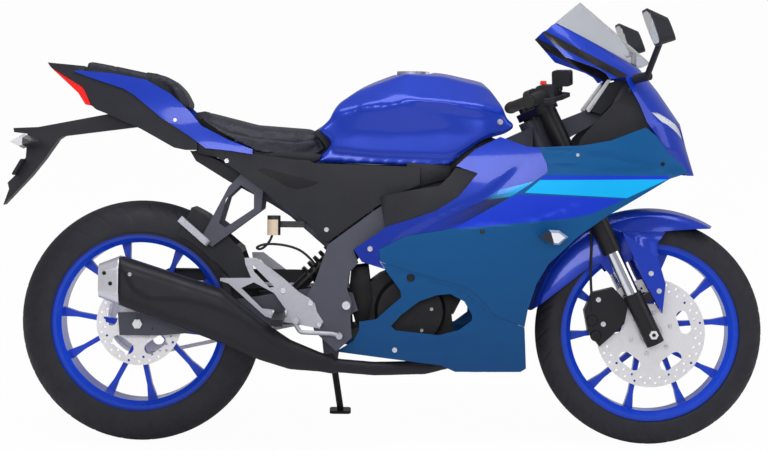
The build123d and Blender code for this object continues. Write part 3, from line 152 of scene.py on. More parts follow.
class Finish:
    """A procedural material of the bike, built from nodes on object coordinates and kept under its name."""

    def __init__(self, name, **settings):
        finishes[name] = self
        self.material = bpy.data.materials.new(name)
        self.material.use_nodes = True
        self.tree = self.material.node_tree
        self.shader = self.tree.nodes["Principled BSDF"]
        for socket, value in settings.items():
            self.shader.inputs[socket.replace("_", " ")].default_value = value

    def node(self, kind, settings=None, inputs=None, output=0):
        """Adds one node and gives the flow out of it; flows and values go into its sockets."""
        pairs = enumerate(inputs) if isinstance(inputs, list) else (inputs or {}).items()
        plain = {key: value.socket if isinstance(value, Flow) else value for key, value in pairs}
        return Flow(self, add_node(self.tree, kind, settings, plain).outputs[output])

    def place(self, scale=1.0):
        """Object coordinates of the upright bike, in metres, times a scale."""
        coords = self.node("ShaderNodeTexCoord", output=3)
        spot = self.node("ShaderNodeMapping", {"vector_type": "POINT"},
                         {"Vector": coords, "Rotation": (LEAN, 0.0, 0.0)})
        if scale == 1.0:
            return spot
        return self.node("ShaderNodeVectorMath", {"operation": "SCALE"}, {0: spot, 3: scale})

    def side_view(self):
        """Millimetres along and up the side view of the upright bike."""
        spot = self.node("ShaderNodeSeparateXYZ", {}, [self.place(1000.0)])
        outputs = spot.socket.node.outputs
        return Flow(self, outputs[0]) - SHIFT.x, Flow(self, outputs[2]) - SHIFT.y * math.sin(LEAN)

    def noise(self, size, detail=2.0):
        """Noise with patches about that many millimetres across."""
        return self.node("ShaderNodeTexNoise", {}, {
            "Vector": self.place(), "Scale": 1000.0 / size, "Detail": detail})

    def spread(self, flow, low, high):
        """A noise flow spread between two values."""
        return self.node("ShaderNodeMapRange", {}, {0: flow, 1: 0.3, 2: 0.7, 3: low, 4: high})

    def mix(self, mask, first, second):
        """Two colours mixed by a mask."""
        first, second = (tone if isinstance(tone, Flow) else (*tone, 1.0) for tone in (first, second))
        return self.node("ShaderNodeMix", {"data_type": "RGBA"}, {0: mask, 6: first, 7: second}, output=2)

    def bump(self, height, strength):
        """Raises the surface by a height flow, by up to a millimetre."""
        self.feed("Normal", self.node("ShaderNodeBump", {}, {
            "Height": height, "Strength": strength, "Distance": 0.001}))

    def feed(self, socket, value):
        """Links a flow to the shader's socket."""
        self.tree.links.new(value.socket, self.shader.inputs[socket])

    def cover(self, colour, roughness, gloss_patch, share=0.1, grain=0.0, grain_size=1.4):
        """Feeds a colour, a gloss uneven by a share in patches, and a fine grain."""
        self.feed("Base Color", colour)
        gloss = self.spread(self.noise(gloss_patch), roughness * (1 - share), roughness * (1 + share))
        self.feed("Roughness", gloss)
        if grain:
            self.bump(self.noise(grain_size, 3.0), grain)
        return self


def coloured(name, colour, roughness, vary, patch, grain, grain_size, **settings):
    """A finish with a slightly mottled colour, uneven gloss and a fine grain."""
    made = Finish(name, **{"Specular_IOR_Level": 0.28, **settings})
    darker = tuple(c * (1 - vary) for c in colour)
    lighter = tuple(min(1.0, c * (1 + vary)) for c in colour)
    mottled = made.mix(made.noise(patch), darker, lighter)
    return made.cover(mottled, roughness, patch * 3, 0.12, grain, grain_size)


# Among these, the second blue and the low teal are painted shade for the panels' lower parts, and the navy is a
# painted dark reflection in the mid panel's fold.
BLUE, SHADED_BLUE, PAINTED_FOLD_REFLECTION = (0.004, 0.034, 0.42), (0.003, 0.022, 0.30), (0.002, 0.008, 0.07)
CYAN, ROYAL = (0.001, 0.42, 0.85), (0.004, 0.035, 0.55)
TEAL_SHADED, TEAL_HIGH = (0.001, 0.05, 0.17), (0.001, 0.082, 0.25)
SOOT, STRIP_BLACK = (0.01, 0.01, 0.013), (0.012, 0.012, 0.016)
PAINT_GLOSS = {"Coat_Weight": 0.45, "Coat_Roughness": 0.06}

# Each: colour, roughness, how much the colour varies, patch size, the grain's height and size, other settings.
for name, (*numbers, settings) in {
    "gloss_blue": (BLUE, 0.3, 0.05, 60.0, 0.0, 3.0, {"Metallic": 0.25, **PAINT_GLOSS}),
    "rim_blue": ((0.004, 0.05, 0.56), 0.3, 0.08, 30.0, 0.04, 2.0, {"Coat_Weight": 0.4, "Coat_Roughness": 0.1}),
    "black_plastic": ((0.013, 0.0135, 0.02), 0.5, 0.12, 22.0, 0.2, 0.9, {}),
    "black_gloss": ((0.006, 0.006, 0.008), 0.16, 0.1, 20.0, 0.02, 2.0, {"Coat_Weight": 0.6}),
    "black_metal": ((0.012, 0.012, 0.015), 0.38, 0.15, 14.0, 0.12, 0.8, {"Metallic": 0.2}),
    "muffler_black": ((0.012, 0.012, 0.017), 0.44, 0.12, 18.0, 0.2, 0.7, {"Metallic": 0.2}),
    "frame_grey": ((0.06, 0.063, 0.086), 0.45, 0.1, 16.0, 0.2, 0.8, {"Metallic": 0.15}),
    "engine_black": ((0.009, 0.009, 0.011), 0.5, 0.2, 10.0, 0.4, 1.4, {"Metallic": 0.2}),
    "cast_silver": ((0.38, 0.38, 0.43), 0.42, 0.08, 9.0, 0.3, 0.7, {"Metallic": 0.7}),
    "brushed_alloy": ((0.64, 0.635, 0.7), 0.34, 0.06, 6.0, 0.1, 0.5, {"Metallic": 0.75}),
    "disc_steel": ((0.72, 0.71, 0.74), 0.38, 0.1, 4.0, 0.15, 0.5, {"Metallic": 0.6}),
    "tube_chrome": ((0.66, 0.68, 0.75), 0.12, 0.03, 12.0, 0.0, 1.0, {"Metallic": 1.0}),
    "grip_rubber": ((0.012, 0.012, 0.013), 0.6, 0.2, 6.0, 0.3, 1.0, {}),
    "tyre_rubber": ((0.015, 0.0152, 0.022), 0.62, 0.2, 14.0, 0.25, 1.2, {}),
    "seat_cover": ((0.019, 0.02, 0.03), 0.5, 0.12, 7.0, 0.5, 1.0, {}),
    "lamp_red": ((0.80, 0.008, 0.006), 0.14, 0.1, 8.0, 0.05, 2.0, {"Coat_Weight": 0.8}),
    "amber_plastic": ((0.66, 0.42, 0.24), 0.3, 0.1, 8.0, 0.05, 2.0, {}),
    "white_plastic": ((0.72, 0.72, 0.75), 0.35, 0.04, 8.0, 0.05, 2.0, {}),
    "mirror_glass": ((0.85, 0.87, 0.9), 0.04, 0.02, 20.0, 0.0, 1.0, {"Metallic": 1.0}),
    "lamp_clear": ((0.62, 0.66, 0.72), 0.08, 0.03, 20.0, 0.0, 1.0, {"Coat_Weight": 0.8}),
    "screen_clear": ((0.92, 0.94, 0.98), 0.05, 0.02, 30.0, 0.0, 1.0, {"Transmission_Weight": 0.9, "IOR": 1.1}),
}.items():
    coloured(name, *numbers, **settings)


def band(made, points, soft=0.6):
    """Mask that is 1 inside a convex outline of side-view places, in millimetres, with a soft edge."""
    along, up = made.side_view()
    turns = sum(a[0] * b[1] - b[0] * a[1] for a, b in zip(points, points[1:] + points[:1]))
    mask = None
    for (x1, z1), (x2, z2) in zip(points, points[1:] + points[:1]):
        length = math.hypot(x2 - x1, z2 - z1) * (1 if turns > 0 else -1)
        nx, nz = (z1 - z2) / length, (x2 - x1) / length
        inside = made.node("ShaderNodeMath", {"operation": "MULTIPLY_ADD", "use_clamp": True},
                           [along * nx + up * nz, 1.0 / soft, 0.5 - (nx * x1 + nz * z1) / soft])
        mask = inside if mask is None else mask * inside
    return mask, along


def striped(name, base, painted_shade, stripes, roughness, **settings):
    """Body colour with painted shade, darker low down and lighter high up, with flat stripes and painted
    reflections laid over it.
    """
    made = Finish(name, **{"Specular_IOR_Level": 0.22, **settings})
    shaded_tone, lit_tone, low, high = painted_shade
    up = made.side_view()[1]
    # Painted shade: the colour runs from the shaded tone at the low height to the lit tone at the high one.
    rise = made.node("ShaderNodeMapRange", {}, {0: up, 1: low, 2: high, 3: 0.0, 4: 1.0})
    colour = made.mix(rise, shaded_tone, lit_tone)
    colour = made.mix(made.noise(60.0) * 0.12, colour, base)
    for points, tint, fade in stripes:
        mask, along = band(made, points)
        if fade:
            mask = mask * made.node("ShaderNodeMapRange", {},
                                    {0: along, 1: fade[0], 2: fade[1], 3: 0.0, 4: 1.0})
        colour = made.mix(mask, colour, tint)
    return made.cover(colour, roughness, 50.0, grain=0.03)


# Each stripe: its outline in the side view, its colour, and where along the bike it fades in.
side_stripes = [
    ([(1018, 694), (1364, 694), (1352, 705), (1040, 705)], ROYAL, None),
    ([(800, 566), (938, 640), (969, 656), (1244, 646), (1158, 608), (1103, 596)], ROYAL, None),
    ([(1024, 692), (1353, 696), (1247, 648), (986, 660)], CYAN, None),
]
# Painted shade on the teal: darker towards 200 mm high, lighter towards 640 mm.
striped("matt_teal", TEAL_HIGH, (TEAL_SHADED, TEAL_HIGH, 200.0, 640.0), side_stripes, 0.44, Metallic=0.2,
        Coat_Weight=0.04, Coat_Roughness=0.35)
# On the mid panel the navy band is painted shade, a dark reflection of the fold, fading in towards the front.
mid_stripes_and_reflection = [
    ([(733, 568), (913, 655), (1027, 672), (862, 592), (766, 563)], PAINTED_FOLD_REFLECTION, (745.0, 900.0)),
    ([(880, 640), (920, 666), (1030, 694), (1030, 660)], CYAN, (880.0, 1015.0)),
]
cowl_stripes = [([(1026, 1078), (1252, 962), (1240, 946), (1026, 1056)], STRIP_BLACK, None)]
# Painted shade on the blue panel: darker towards 480 mm high, lighter towards 760 mm; the cowl keeps one blue.
striped("panel_blue", BLUE, (SHADED_BLUE, BLUE, 480.0, 760.0), mid_stripes_and_reflection, 0.3, Metallic=0.2, **PAINT_GLOSS)
striped("cowl_blue", BLUE, (BLUE, BLUE, 700.0, 1000.0), cowl_stripes, 0.3, Metallic=0.2, **PAINT_GLOSS)


def two_tone(name, first, second, edges, roughness, **settings):
    """A finish that turns to the second colour past any of its (x, z, way x, way z) edges of the side view."""
    made = Finish(name, **settings)
    along, up = made.side_view()
    mask = None
    for x, z, way_x, way_z in edges:
        past = (along * way_x + up * way_z) > (x * way_x + z * way_z)
        mask = past if mask is None else made.node("ShaderNodeMath", {"operation": "MAXIMUM"}, [mask, past])
    return made.cover(made.mix(mask, first, second), roughness, 20.0, grain=0.08, grain_size=1.2)


two_tone("cup_plastic", (0.62, 0.5, 0.38), SOOT, [(0, 585, 0, 1), (360, 0, 1, 0)], 0.3)
two_tone("front_signal_lens", SOOT, (0.7, 0.72, 0.78), [(1052, 548, 1, 0.3)], 0.15, Coat_Weight=0.6)
two_tone("rear_signal_lens", (0.6, 0.6, 0.64), SOOT, [(-290, 0, 1, 0)], 0.2, Coat_Weight=0.5)

# ---- which finish is on which node ----
SLOT_FINISH = {"tyre_black": "tyre_rubber", "body_blue": "gloss_blue", "body_teal": "matt_teal",
               "cap_alloy": "brushed_alloy"}
slot_of = {part["node"]: part["material_slot"] for part in frame["record"]["subparts"]}
finish_of_node = {node: SLOT_FINISH.get(slot, slot) for node, slot in slot_of.items()}
finish_of_node.update(
    upper_cowl="cowl_blue", exhaust="muffler_black", mid_panels="panel_blue", rear_reservoir="cup_plastic",
    front_signals="front_signal_lens", rear_signals="rear_signal_lens")
for node, finish in finish_of_node.items():
    mesh = nodes[node].data
    mesh.materials.clear()
    mesh.materials.append(finishes[finish].material)
body_of = {node: body for body, members in frame["record"]["behaviour"]["bodies"].items() for node in members}


# ---- making pieces ----
def closed(form, name):
    """The mesh of a finished bmesh form; the form goes."""
    mesh = bpy.data.meshes.new(name)
    form.to_mesh(mesh)
    form.free()
    return mesh


def welded(node):
    """A form of a CAD node's mesh with its doubled corners welded."""
    form = bmesh.new()
    form.from_mesh(nodes[node].data)
    bmesh.ops.remove_doubles(form, verts=form.verts, dist=WELD)
    return form


def parked_mesh(form, name):
    """The mesh of a form drawn on the upright bike, put where the bike is parked."""
    for vert in form.verts:
        vert.co = park(*vert.co)
    return closed(form, name)


def upright_tree(mesh):
    """A tree for rays against a mesh, on the upright bike in millimetres."""
    return BVHTree.FromPolygons([unpark(v.co) for v in mesh.vertices], [p.vertices[:] for p in mesh.polygons])


def upright_spots(mesh):
    """The places of a mesh's vertices on the upright bike."""
    return np.array([unpark(v.co)[:] for v in mesh.vertices])


def upright_ways(mesh):
    """The outward ways of a mesh's vertices on the upright bike."""
    return np.array([(PARKED_TO_UPRIGHT @ v.normal)[:] for v in mesh.vertices])


def move_all(verts, spots):
    """Sets every vertex to its place, given on the upright bike."""
    for vert, spot in zip(verts, spots):
        vert.co = park(*spot)


def sliced(form, step, first_cut):
    """Cuts a form along both ways of the side view; first_cut gives the first place from the form's low end."""
    for axis in (0, 2):
        low, high = min(v.co[axis] for v in form.verts), max(v.co[axis] for v in form.verts)
        normal, centre = [0.0, 0.0, 0.0], [0.0, 0.0, 0.0]
        normal[axis] = 1.0
        centre[axis] = first_cut(low)
        while centre[axis] < high:
            bmesh.ops.bisect_plane(form, geom=form.verts[:] + form.edges[:] + form.faces[:], dist=1e-3,
                                   plane_co=centre, plane_no=normal)
            centre[axis] += step


def finish_piece(mesh, name, finish, body, node=None, sharp=38.0):
    """Makes a mesh a piece of the scene: smooth faces, its finish, and the body it rides on."""
    mesh.materials.clear()
    mesh.materials.append(finishes[finish].material)
    mesh.polygons.foreach_set("use_smooth", [True] * len(mesh.polygons))
    if sharp < 180:
        mesh.set_sharp_from_angle(angle=math.radians(sharp))
    obj = placed(name, mesh)
    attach(obj, body)
    if node:
        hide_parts(node)
    return obj


def replace(node, ending, mesh, sharp):
    """Makes a mesh the piece that stands for a CAD node."""
    return finish_piece(mesh, node + ending, finish_of_node[node], body_of[node], node, sharp=sharp)


def mesh_of(name, places, faces):
    """A mesh of places on the upright bike, with its faces turned outwards."""
    form = bmesh.new()
    corners = [form.verts.new(park(*place)) for place in places]
    for face in faces:
        form.faces.new([corners[i] for i in face])
    bmesh.ops.remove_doubles(form, verts=form.verts, dist=1e-6)
    bmesh.ops.recalc_face_normals(form, faces=form.faces)
    return closed(form, name)


def crease(points, depth, width, below=True, soft=7.0):
    """Height of a fold along a line of the side view: full at the line and fading on one side of it."""
    line = np.array(points, float)
    taper = 40

    def height(x, z):
        spot = np.stack([x, z], 1)
        best, side = np.full(len(x), 1e9), np.zeros(len(x))
        for a, b in zip(line, line[1:]):
            way = b - a
            t = np.clip(((spot - a) @ way) / (way @ way), 0, 1)
            off = spot - (a + t[:, None] * way)
            far = np.hypot(off[:, 0], off[:, 1])
            cross = way[0] * off[:, 1] - way[1] * off[:, 0]
            near = far < best
            best, side = np.where(near, far, best), np.where(near, cross, side)
        lean_in = np.clip(0.5 + np.sign(side) * (-1 if below else 1) * best / soft, 0, 1)
        lean_in = lean_in * lean_in * (3 - 2 * lean_in)
        ends = np.clip((x - line[:, 0].min()) / taper, 0, 1) * np.clip((line[:, 0].max() - x) / taper, 0, 1)
        return lean_in * depth * np.exp(-best / width) * ends

    return height


def skin_height(node, grid=6.0, blur=4.5):
    """Smoothed and raw distance from the middle of a node's right-hand outer skin, over a side-view grid."""
    mesh = nodes[node].data
    tree = upright_tree(mesh)
    spots = upright_spots(mesh)
    low, high = spots.min(0) - 3 * grid, spots.max(0) + 3 * grid
    xs, zs = np.arange(low[0], high[0], grid), np.arange(low[2], high[2], grid)
    raw = np.full((len(xs), len(zs)), np.nan)
    for i, x in enumerate(xs):
        for j, z in enumerate(zs):
            hit = tree.ray_cast(Vector((x, -500, z)), Vector((0, 1, 0)), 499)
            if hit[0] is not None:
                raw[i, j] = -hit[0].y
    # A broad surface first, then what is left of the heights, blurred, on top of it.
    gx, gz = np.meshgrid((xs - xs.mean()) / 500, (zs - zs.mean()) / 500, indexing="ij")
    known = ~np.isnan(raw)
    terms = np.stack([gx ** a * gz ** b for a in range(5) for b in range(5 - a)], -1)
    fit = terms @ np.linalg.lstsq(terms[known], raw[known], rcond=None)[0]
    left = np.where(known, raw - fit, 0.0)
    weight = known.astype(float)
    reach = min(int(3 * blur), (min(raw.shape) - 1) // 2)
    kernel = np.exp(-0.5 * (np.arange(-reach, reach + 1) / blur) ** 2)
    for axis in (0, 1):
        left = np.apply_along_axis(lambda row: np.convolve(row, kernel, "same"), axis, left)
        weight = np.apply_along_axis(lambda row: np.convolve(row, kernel, "same"), axis, weight)
    smooth = fit + left / np.maximum(weight, 1e-6)
    # The raw heights grow outwards from the skin's edge, so that corners on the edge can be read.
    for _ in range(3 + len(xs) // 4):
        gaps = np.isnan(raw)
        if not gaps.any():
            break
        padded = np.pad(raw, 1, constant_values=np.nan)
        near = np.stack([padded[:-2, 1:-1], padded[2:, 1:-1], padded[1:-1, :-2], padded[1:-1, 2:]])
        count = (~np.isnan(near)).sum(0)
        total = np.nansum(near, 0)
        raw = np.where(gaps & (count > 0), total / np.maximum(count, 1), raw)
    raw = np.where(np.isnan(raw), fit, raw)

    def reader(values):
        def read(x, z):
            u = np.clip((x - xs[0]) / grid, 0, len(xs) - 1.001)
            v = np.clip((z - zs[0]) / grid, 0, len(zs) - 1.001)
            i, j = u.astype(int), v.astype(int)
            u, v = u - i, v - j
            return (values[i, j] * (1 - u) * (1 - v) + values[i + 1, j] * u * (1 - v)
                    + values[i, j + 1] * (1 - u) * v + values[i + 1, j + 1] * u * v)

        return read

    return reader(smooth), reader(raw)


# Millimetres: the panels' wall, how near a corner is to a face it belongs to, and how deep the skin goes.
PANEL_T, NEAR_OUTER, NEAR_INNER, SKIN_DEPTH = 3.5, 1.7, 1.8, 12
# Cosines: how squarely a face looks sideways, and how near the shaded way has to be to the face's own.
FACES_OUT, AGREES = 0.6, 0.7


def sculpted(node, step, folds=(), sharp=38.0, blur=4.5):
    """Replaces a ruled CAD skin by a finely divided copy, smoothed across its bands and folded."""
    smooth, raw = skin_height(node, blur=blur)

    def folded(values, x, z):
        for fold in folds:
            values = values + fold(x, z)
        return values

    def height(x, z):
        return folded(smooth(x, z), x, z)

    form = welded(node)
    for vert in form.verts:
        vert.co = unpark(vert.co)
    bmesh.ops.dissolve_limit(form, angle_limit=math.radians(0.6), verts=form.verts, edges=form.edges)
    sliced(form, step, lambda low: math.floor(low / step) * step + step * 0.37)
    spots = np.array([v.co[:] for v in form.verts])
    x, z = spots[:, 0], spots[:, 2]
    side = np.where(spots[:, 1] < 0, -1.0, 1.0)
    deep = raw(x, z) - np.abs(spots[:, 1])
    deep = np.where(np.abs(deep) < NEAR_OUTER, 0.0,
                    np.where(np.abs(deep - PANEL_T) < NEAR_INNER, PANEL_T, deep))
    on_skin = deep < SKIN_DEPTH
    spots[:, 1] = np.where(on_skin, side * folded(smooth(x, z) - deep, x, z), spots[:, 1])
    move_all(form.verts, spots)
    mesh = closed(form, node + "_skin")
    piece = replace(node, "_skin", mesh, sharp)

    around = 5
    slope_x = (height(x + around, z) - height(x - around, z)) / (2 * around)
    slope_z = (height(x, z + around) - height(x, z - around)) / (2 * around)
    # The outer face takes its shading from the height itself; the rims keep their own.
    normals = [None] * len(mesh.loops)
    for face in mesh.polygons:
        way = PARKED_TO_UPRIGHT @ face.normal
        for loop in face.loop_indices:
            at = mesh.loops[loop].vertex_index
            normals[loop] = face.normal
            if abs(way.y) > FACES_OUT and on_skin[at]:
                out = Vector((-slope_x[at], side[at], -slope_z[at])).normalized()
                if out.dot(way) < 0:
                    out = -out
                if out.dot(way) > AGREES:
                    normals[loop] = UPRIGHT_TO_PARKED @ out
    mesh.normals_split_custom_set(normals)
    return piece


def baked(obj):
    """The object's mesh with its modifiers applied; the object goes."""
    graph = bpy.context.evaluated_depsgraph_get()
    mesh = bpy.data.meshes.new_from_object(obj.evaluated_get(graph))
    bpy.data.objects.remove(obj)
    return mesh


def remeshed(obj, voxel, rounds):
    """The object's mesh in even voxels, smoothed for some rounds; the object goes."""
    remesh = obj.modifiers.new("remesh", "REMESH")
    remesh.mode = "VOXEL"
    remesh.voxel_size = voxel
    soft = obj.modifiers.new("soft", "SMOOTH")
    soft.iterations = rounds
    return baked(obj)


def rounded(node, voxel, rounds, folds=(), sharp=60.0):
    """Replaces a solid CAD node by an even, softened form with folds in its sides."""
    mesh = remeshed(placed(node + "_form", closed(welded(node), node + "_form")), voxel, rounds)
    spots = upright_spots(mesh)
    facing = upright_ways(mesh)[:, 1]
    for fold in folds:
        spots[:, 1] += np.sign(spots[:, 1]) * fold(spots[:, 0], spots[:, 2]) * np.clip(np.abs(facing), 0, 1)
    move_all(mesh.vertices, spots)
    return replace(node, "_form", mesh, sharp)


def eased(node, sharp=32.0):
    """Replaces a CAD node by its welded copy with smooth shading across its facets."""
    return replace(node, "_shell", closed(welded(node), node + "_eased"), sharp)


# ---- body panels ----
sculpted("side_fairings", 13.0, [
    crease([(1010, 772), (1126, 766), (1228, 750), (1317, 730), (1405, 714)], -5.0, 16.0),
    crease([(1030, 735), (1139, 726), (1241, 720), (1342, 713)], -4.0, 18.0),
    crease([(806, 566), (1000, 586), (1150, 640)], 2.5, 30.0)])
sculpted("lower_fairings", 13.0, [
    crease([(634, 470), (746, 440), (841, 404), (895, 356), (960, 322)], -6.0, 30.0),
    crease([(640, 262), (700, 285), (800, 282), (900, 300), (990, 330)], 4.0, 26.0, below=False)])
sculpted("mid_panels", 13.0, [crease([(640, 520), (760, 590), (880, 650), (990, 740)], -3.5, 40.0, soft=30.0)],
         blur=8.0)
eased("waist_covers")
sculpted("tail_panels", 13.0, blur=9.0)
rounded("fuel_tank", 0.006, 10, [
    crease([(520, 880), (600, 908), (669, 902), (771, 876), (827, 864), (900, 850)], -7.0, 40.0, soft=26.0),
    crease([(470, 780), (502, 762), (607, 752), (788, 748), (880, 765)], -5.0, 22.0, soft=24.0)])
rounded("exhaust", 0.005, 4, [
    crease([(-46, 494), (-25, 459), (5, 409), (45, 387), (133, 385), (196, 370), (272, 341), (327, 296),
            (400, 240)], 4.0, 120.0, below=False, soft=6.0)])
for node in ("upper_cowl", "front_fender", "tail_cowl", "muffler_cap", "windscreen", "inner_cowls"):
    eased(node)


# ---- tyres ----
# The tread's cuts: where each starts and ends across half the tyre, its slant, its shift around, its width.
TREAD_CUTS = ((0.10, 0.86, 0.9, 0.0, 3.4), (0.42, 0.80, 1.2, 0.42, 2.2), (0.0, 0.22, -0.5, 0.7, 2.6))
TREAD_DEPTH, TREAD_STEPS, CROWN_STEPS = 2.6, 760, 34
CROWN, WALL = 1, 2


def tread_cut(turn, across, repeats, radius):
    """Depth of the tread's slanted cuts, from 0 to 1."""
    side = 0.5 if across > 0 else 0.0
    reach = abs(across)
    pitch = 2 * math.pi * radius / repeats
    depth = 0.0
    for start, end, slant, shift, wide in TREAD_CUTS:
        if start < reach < end:
            phase = (turn * repeats / (2 * math.pi) + slant * reach ** 1.2 + shift + side) % 1.0
            off = abs(phase - 0.5) * pitch
            ends = min(1.0, (reach - start) / 0.05, (end - reach) / 0.05)
            depth = max(depth, ends * max(0.0, min(1.0, (wide - off) / 1.2)))
    return depth


def tyre(node, hub, outer_r, width, rim_w, repeats):
    """A road tyre with a round, cut tread, ribbed walls and beads inside the rim's flanges."""
    half, seat = width / 2, rim_w / 2 - 9
    bulge = width * 0.52
    shoulder = outer_r - bulge
    ring = []
    radius = (bulge ** 2 + half ** 2) / (2 * bulge)
    spread = math.asin(min(1.0, half / radius))
    for k in range(CROWN_STEPS + 1):
        share = 2 * k / CROWN_STEPS - 1
        angle = share * spread
        ring.append((outer_r - radius + radius * math.cos(angle), radius * math.sin(angle), share))
    wall = [(r, y, WALL) for r, y in (
        (shoulder - 4, half + 0.6), (shoulder - 8, half + 0.4), (shoulder - 10, half - 0.8),
        (shoulder - 12, half + 0.2), (246, half * 0.55 + seat * 0.45 + 6), (241, seat + 9), (236, seat + 7.5),
        (232, seat + 5), (215.9, seat))]
    profile = [(r, -y, s) for r, y, s in reversed(wall)] + ring + wall
    places, faces = [], []
    for i in range(TREAD_STEPS):
        turn = 2 * math.pi * i / TREAD_STEPS
        for r, y, share in profile:
            if abs(share) <= CROWN:
                r -= TREAD_DEPTH * tread_cut(turn, share, repeats, outer_r)
            places.append((hub[0] + r * math.cos(turn), y, hub[1] + r * math.sin(turn)))
    count = len(profile)
    for i in range(TREAD_STEPS):
        after = (i + 1) % TREAD_STEPS
        for k in range(count):
            m = (k + 1) % count
            faces.append((i * count + k, i * count + m, after * count + m, after * count + k))
    replace(node, "_tread", mesh_of(node + "_tread", places, faces), 45.0)


tyre("rear_tyre", REAR_HUB, 313.9, 140.0, 114.0, 26)
tyre("front_tyre", FRONT_HUB, 295.9, 100.0, 82.0, 28)


# ---- where things sit ----
def stand_in(node):
    """The object that shows a node: its new form, or the CAD node itself."""
    for ending in ("_skin", "_form", "_shell", "_tread"):
        if node + ending in bpy.data.objects:
            return bpy.data.objects[node + ending]
    return nodes[node]


trees = {}


def seat_on(node, x, z, side=RIGHT):
    """Place and outward way on a node's outer face, seen along Y from the given side."""
    if node not in trees:
        trees[node] = upright_tree(stand_in(node).data)
    hit = trees[node].ray_cast(Vector((x, side * 600, z)), Vector((0, -side, 0)), 1200)
    if hit[0] is None:
        return None
    way = hit[1] if hit[1].y * side > 0 else -hit[1]
    return hit[0], way


# ---- what repeats ----
class Growth:
    """A geometry tree of the bike: a small form set on many places, with named sizes."""

    def __init__(self, name, **sizes):
        self.tree = bpy.data.node_groups.new(name, "GeometryNodeTree")
        face = self.tree.interface
        face.new_socket("Places", in_out="INPUT", socket_type="NodeSocketGeometry")
        for word, value in sizes.items():
            socket = face.new_socket(word, in_out="INPUT", socket_type="NodeSocketFloat")
            socket.default_value = value
        face.new_socket("Finish", in_out="INPUT", socket_type="NodeSocketMaterial")
        face.new_socket("Pieces", in_out="OUTPUT", socket_type="NodeSocketGeometry")
        self.start = self.tree.nodes.new("NodeGroupInput").outputs
        self.end = self.tree.nodes.new("NodeGroupOutput")

    def node(self, kind, settings=None, inputs=None):
        """Adds one node to the tree."""
        return add_node(self.tree, kind, settings, inputs)

    def times(self, socket, factor):
        """A size times a number."""
        return self.node("ShaderNodeMath", {"operation": "MULTIPLY"}, {0: socket, 1: factor}).outputs[0]

    def close(self, form):
        """Sets the form on each place, turned to its way and side, and ends the tree."""
        way, side, size = (self.node("GeometryNodeInputNamedAttribute", {"data_type": kind}, {"Name": word})
                           for word, kind in (("way", "FLOAT_VECTOR"), ("side", "FLOAT_VECTOR"),
                                              ("size", "FLOAT")))
        up = self.node("FunctionNodeAlignRotationToVector", {"axis": "Z"}, {"Vector": way.outputs[0]})
        turned = self.node("FunctionNodeAlignRotationToVector", {"axis": "X", "pivot_axis": "Z"},
                           {"Rotation": up.outputs[0], "Vector": side.outputs[0]})
        put = self.node("GeometryNodeInstanceOnPoints", {}, {
            "Points": self.start["Places"], "Instance": form, "Rotation": turned.outputs[0],
            "Scale": size.outputs[0]})
        real = self.node("GeometryNodeRealizeInstances", {}, {"Geometry": put.outputs[0]})
        finish = self.node("GeometryNodeSetMaterial", {}, {
            "Geometry": real.outputs[0], "Material": self.start["Finish"]})
        self.tree.links.new(finish.outputs[0], self.end.inputs[0])
        return self

    def grow(self, name, rows, finish, body, slot, sharp=30.0, **sizes):
        """Makes one mesh from rows of place, way, side and size on the upright bike."""
        mesh = bpy.data.meshes.new(name)
        mesh.from_pydata([park(*row[0]) for row in rows], [], [])
        for word, kind, values in (("way", "FLOAT_VECTOR", [park_way(*row[1]) for row in rows]),
                                   ("side", "FLOAT_VECTOR", [park_way(*row[2]) for row in rows]),
                                   ("size", "FLOAT", [row[3] for row in rows])):
            layer = mesh.attributes.new(word, kind, "POINT")
            if kind == "FLOAT":
                layer.data.foreach_set("value", values)
            else:
                layer.data.foreach_set("vector", [part for value in values for part in value])
        obj = placed(name + "_places", mesh)
        modifier = obj.modifiers.new("growth", "NODES")
        modifier.node_group = self.tree
        for item in self.tree.interface.items_tree:
            if item.in_out == "INPUT" and item.name in sizes:
                modifier[item.identifier] = sizes[item.name]
            if item.in_out == "INPUT" and item.name == "Finish":
                modifier[item.identifier] = finishes[finish].material
        done = baked(obj)
        done.polygons.foreach_set("material_index", [0] * len(done.polygons))
        return finish_piece(done, name, finish, body, sharp=sharp)


screws = Growth("screw_heads", Radius=0.006, Height=0.003)
cone = screws.node("GeometryNodeMeshCone", {"fill_type": "NGON"}, {
    "Vertices": 14, "Radius Top": screws.times(screws.start["Radius"], 0.82),
    "Radius Bottom": screws.start["Radius"], "Depth": screws.start["Height"]})
inset = screws.node("GeometryNodeExtrudeMesh", {"mode": "FACES"}, {
    "Mesh": cone.outputs[0], "Selection": cone.outputs["Top"], "Offset Scale": 0.0, "Individual": False})
hole = screws.node("GeometryNodeScaleElements", {"domain": "FACE"}, {
    "Geometry": inset.outputs[0], "Selection": inset.outputs["Top"], "Scale": 0.52})
deep = screws.node("GeometryNodeExtrudeMesh", {"mode": "FACES"}, {
    "Mesh": hole.outputs[0], "Selection": inset.outputs["Top"],
    "Offset Scale": screws.times(screws.start["Height"], -0.6), "Individual": False})
screws.close(deep.outputs[0])

bars = Growth("ribs", Length=0.02, Width=0.002, Height=0.002)
block = bars.node("GeometryNodeMeshCube", {}, {"Size": bars.node("ShaderNodeCombineXYZ", {}, {
    "X": bars.start["Length"], "Y": bars.start["Width"], "Z": bars.start["Height"]}).outputs[0]})
bars.close(block.outputs[0])


def screw_rows(spots, sides=(RIGHT,)):
    """Rows for screws from (node, x, z, size) spots, on the faces that carry them."""
    rows = []
    for side in sides:
        for node, x, z, size in spots:
            found = seat_on(node, x, z, side)
            if found is not None:
                rows.append((found[0], found[1], (1, 0, 0), size))
    return rows


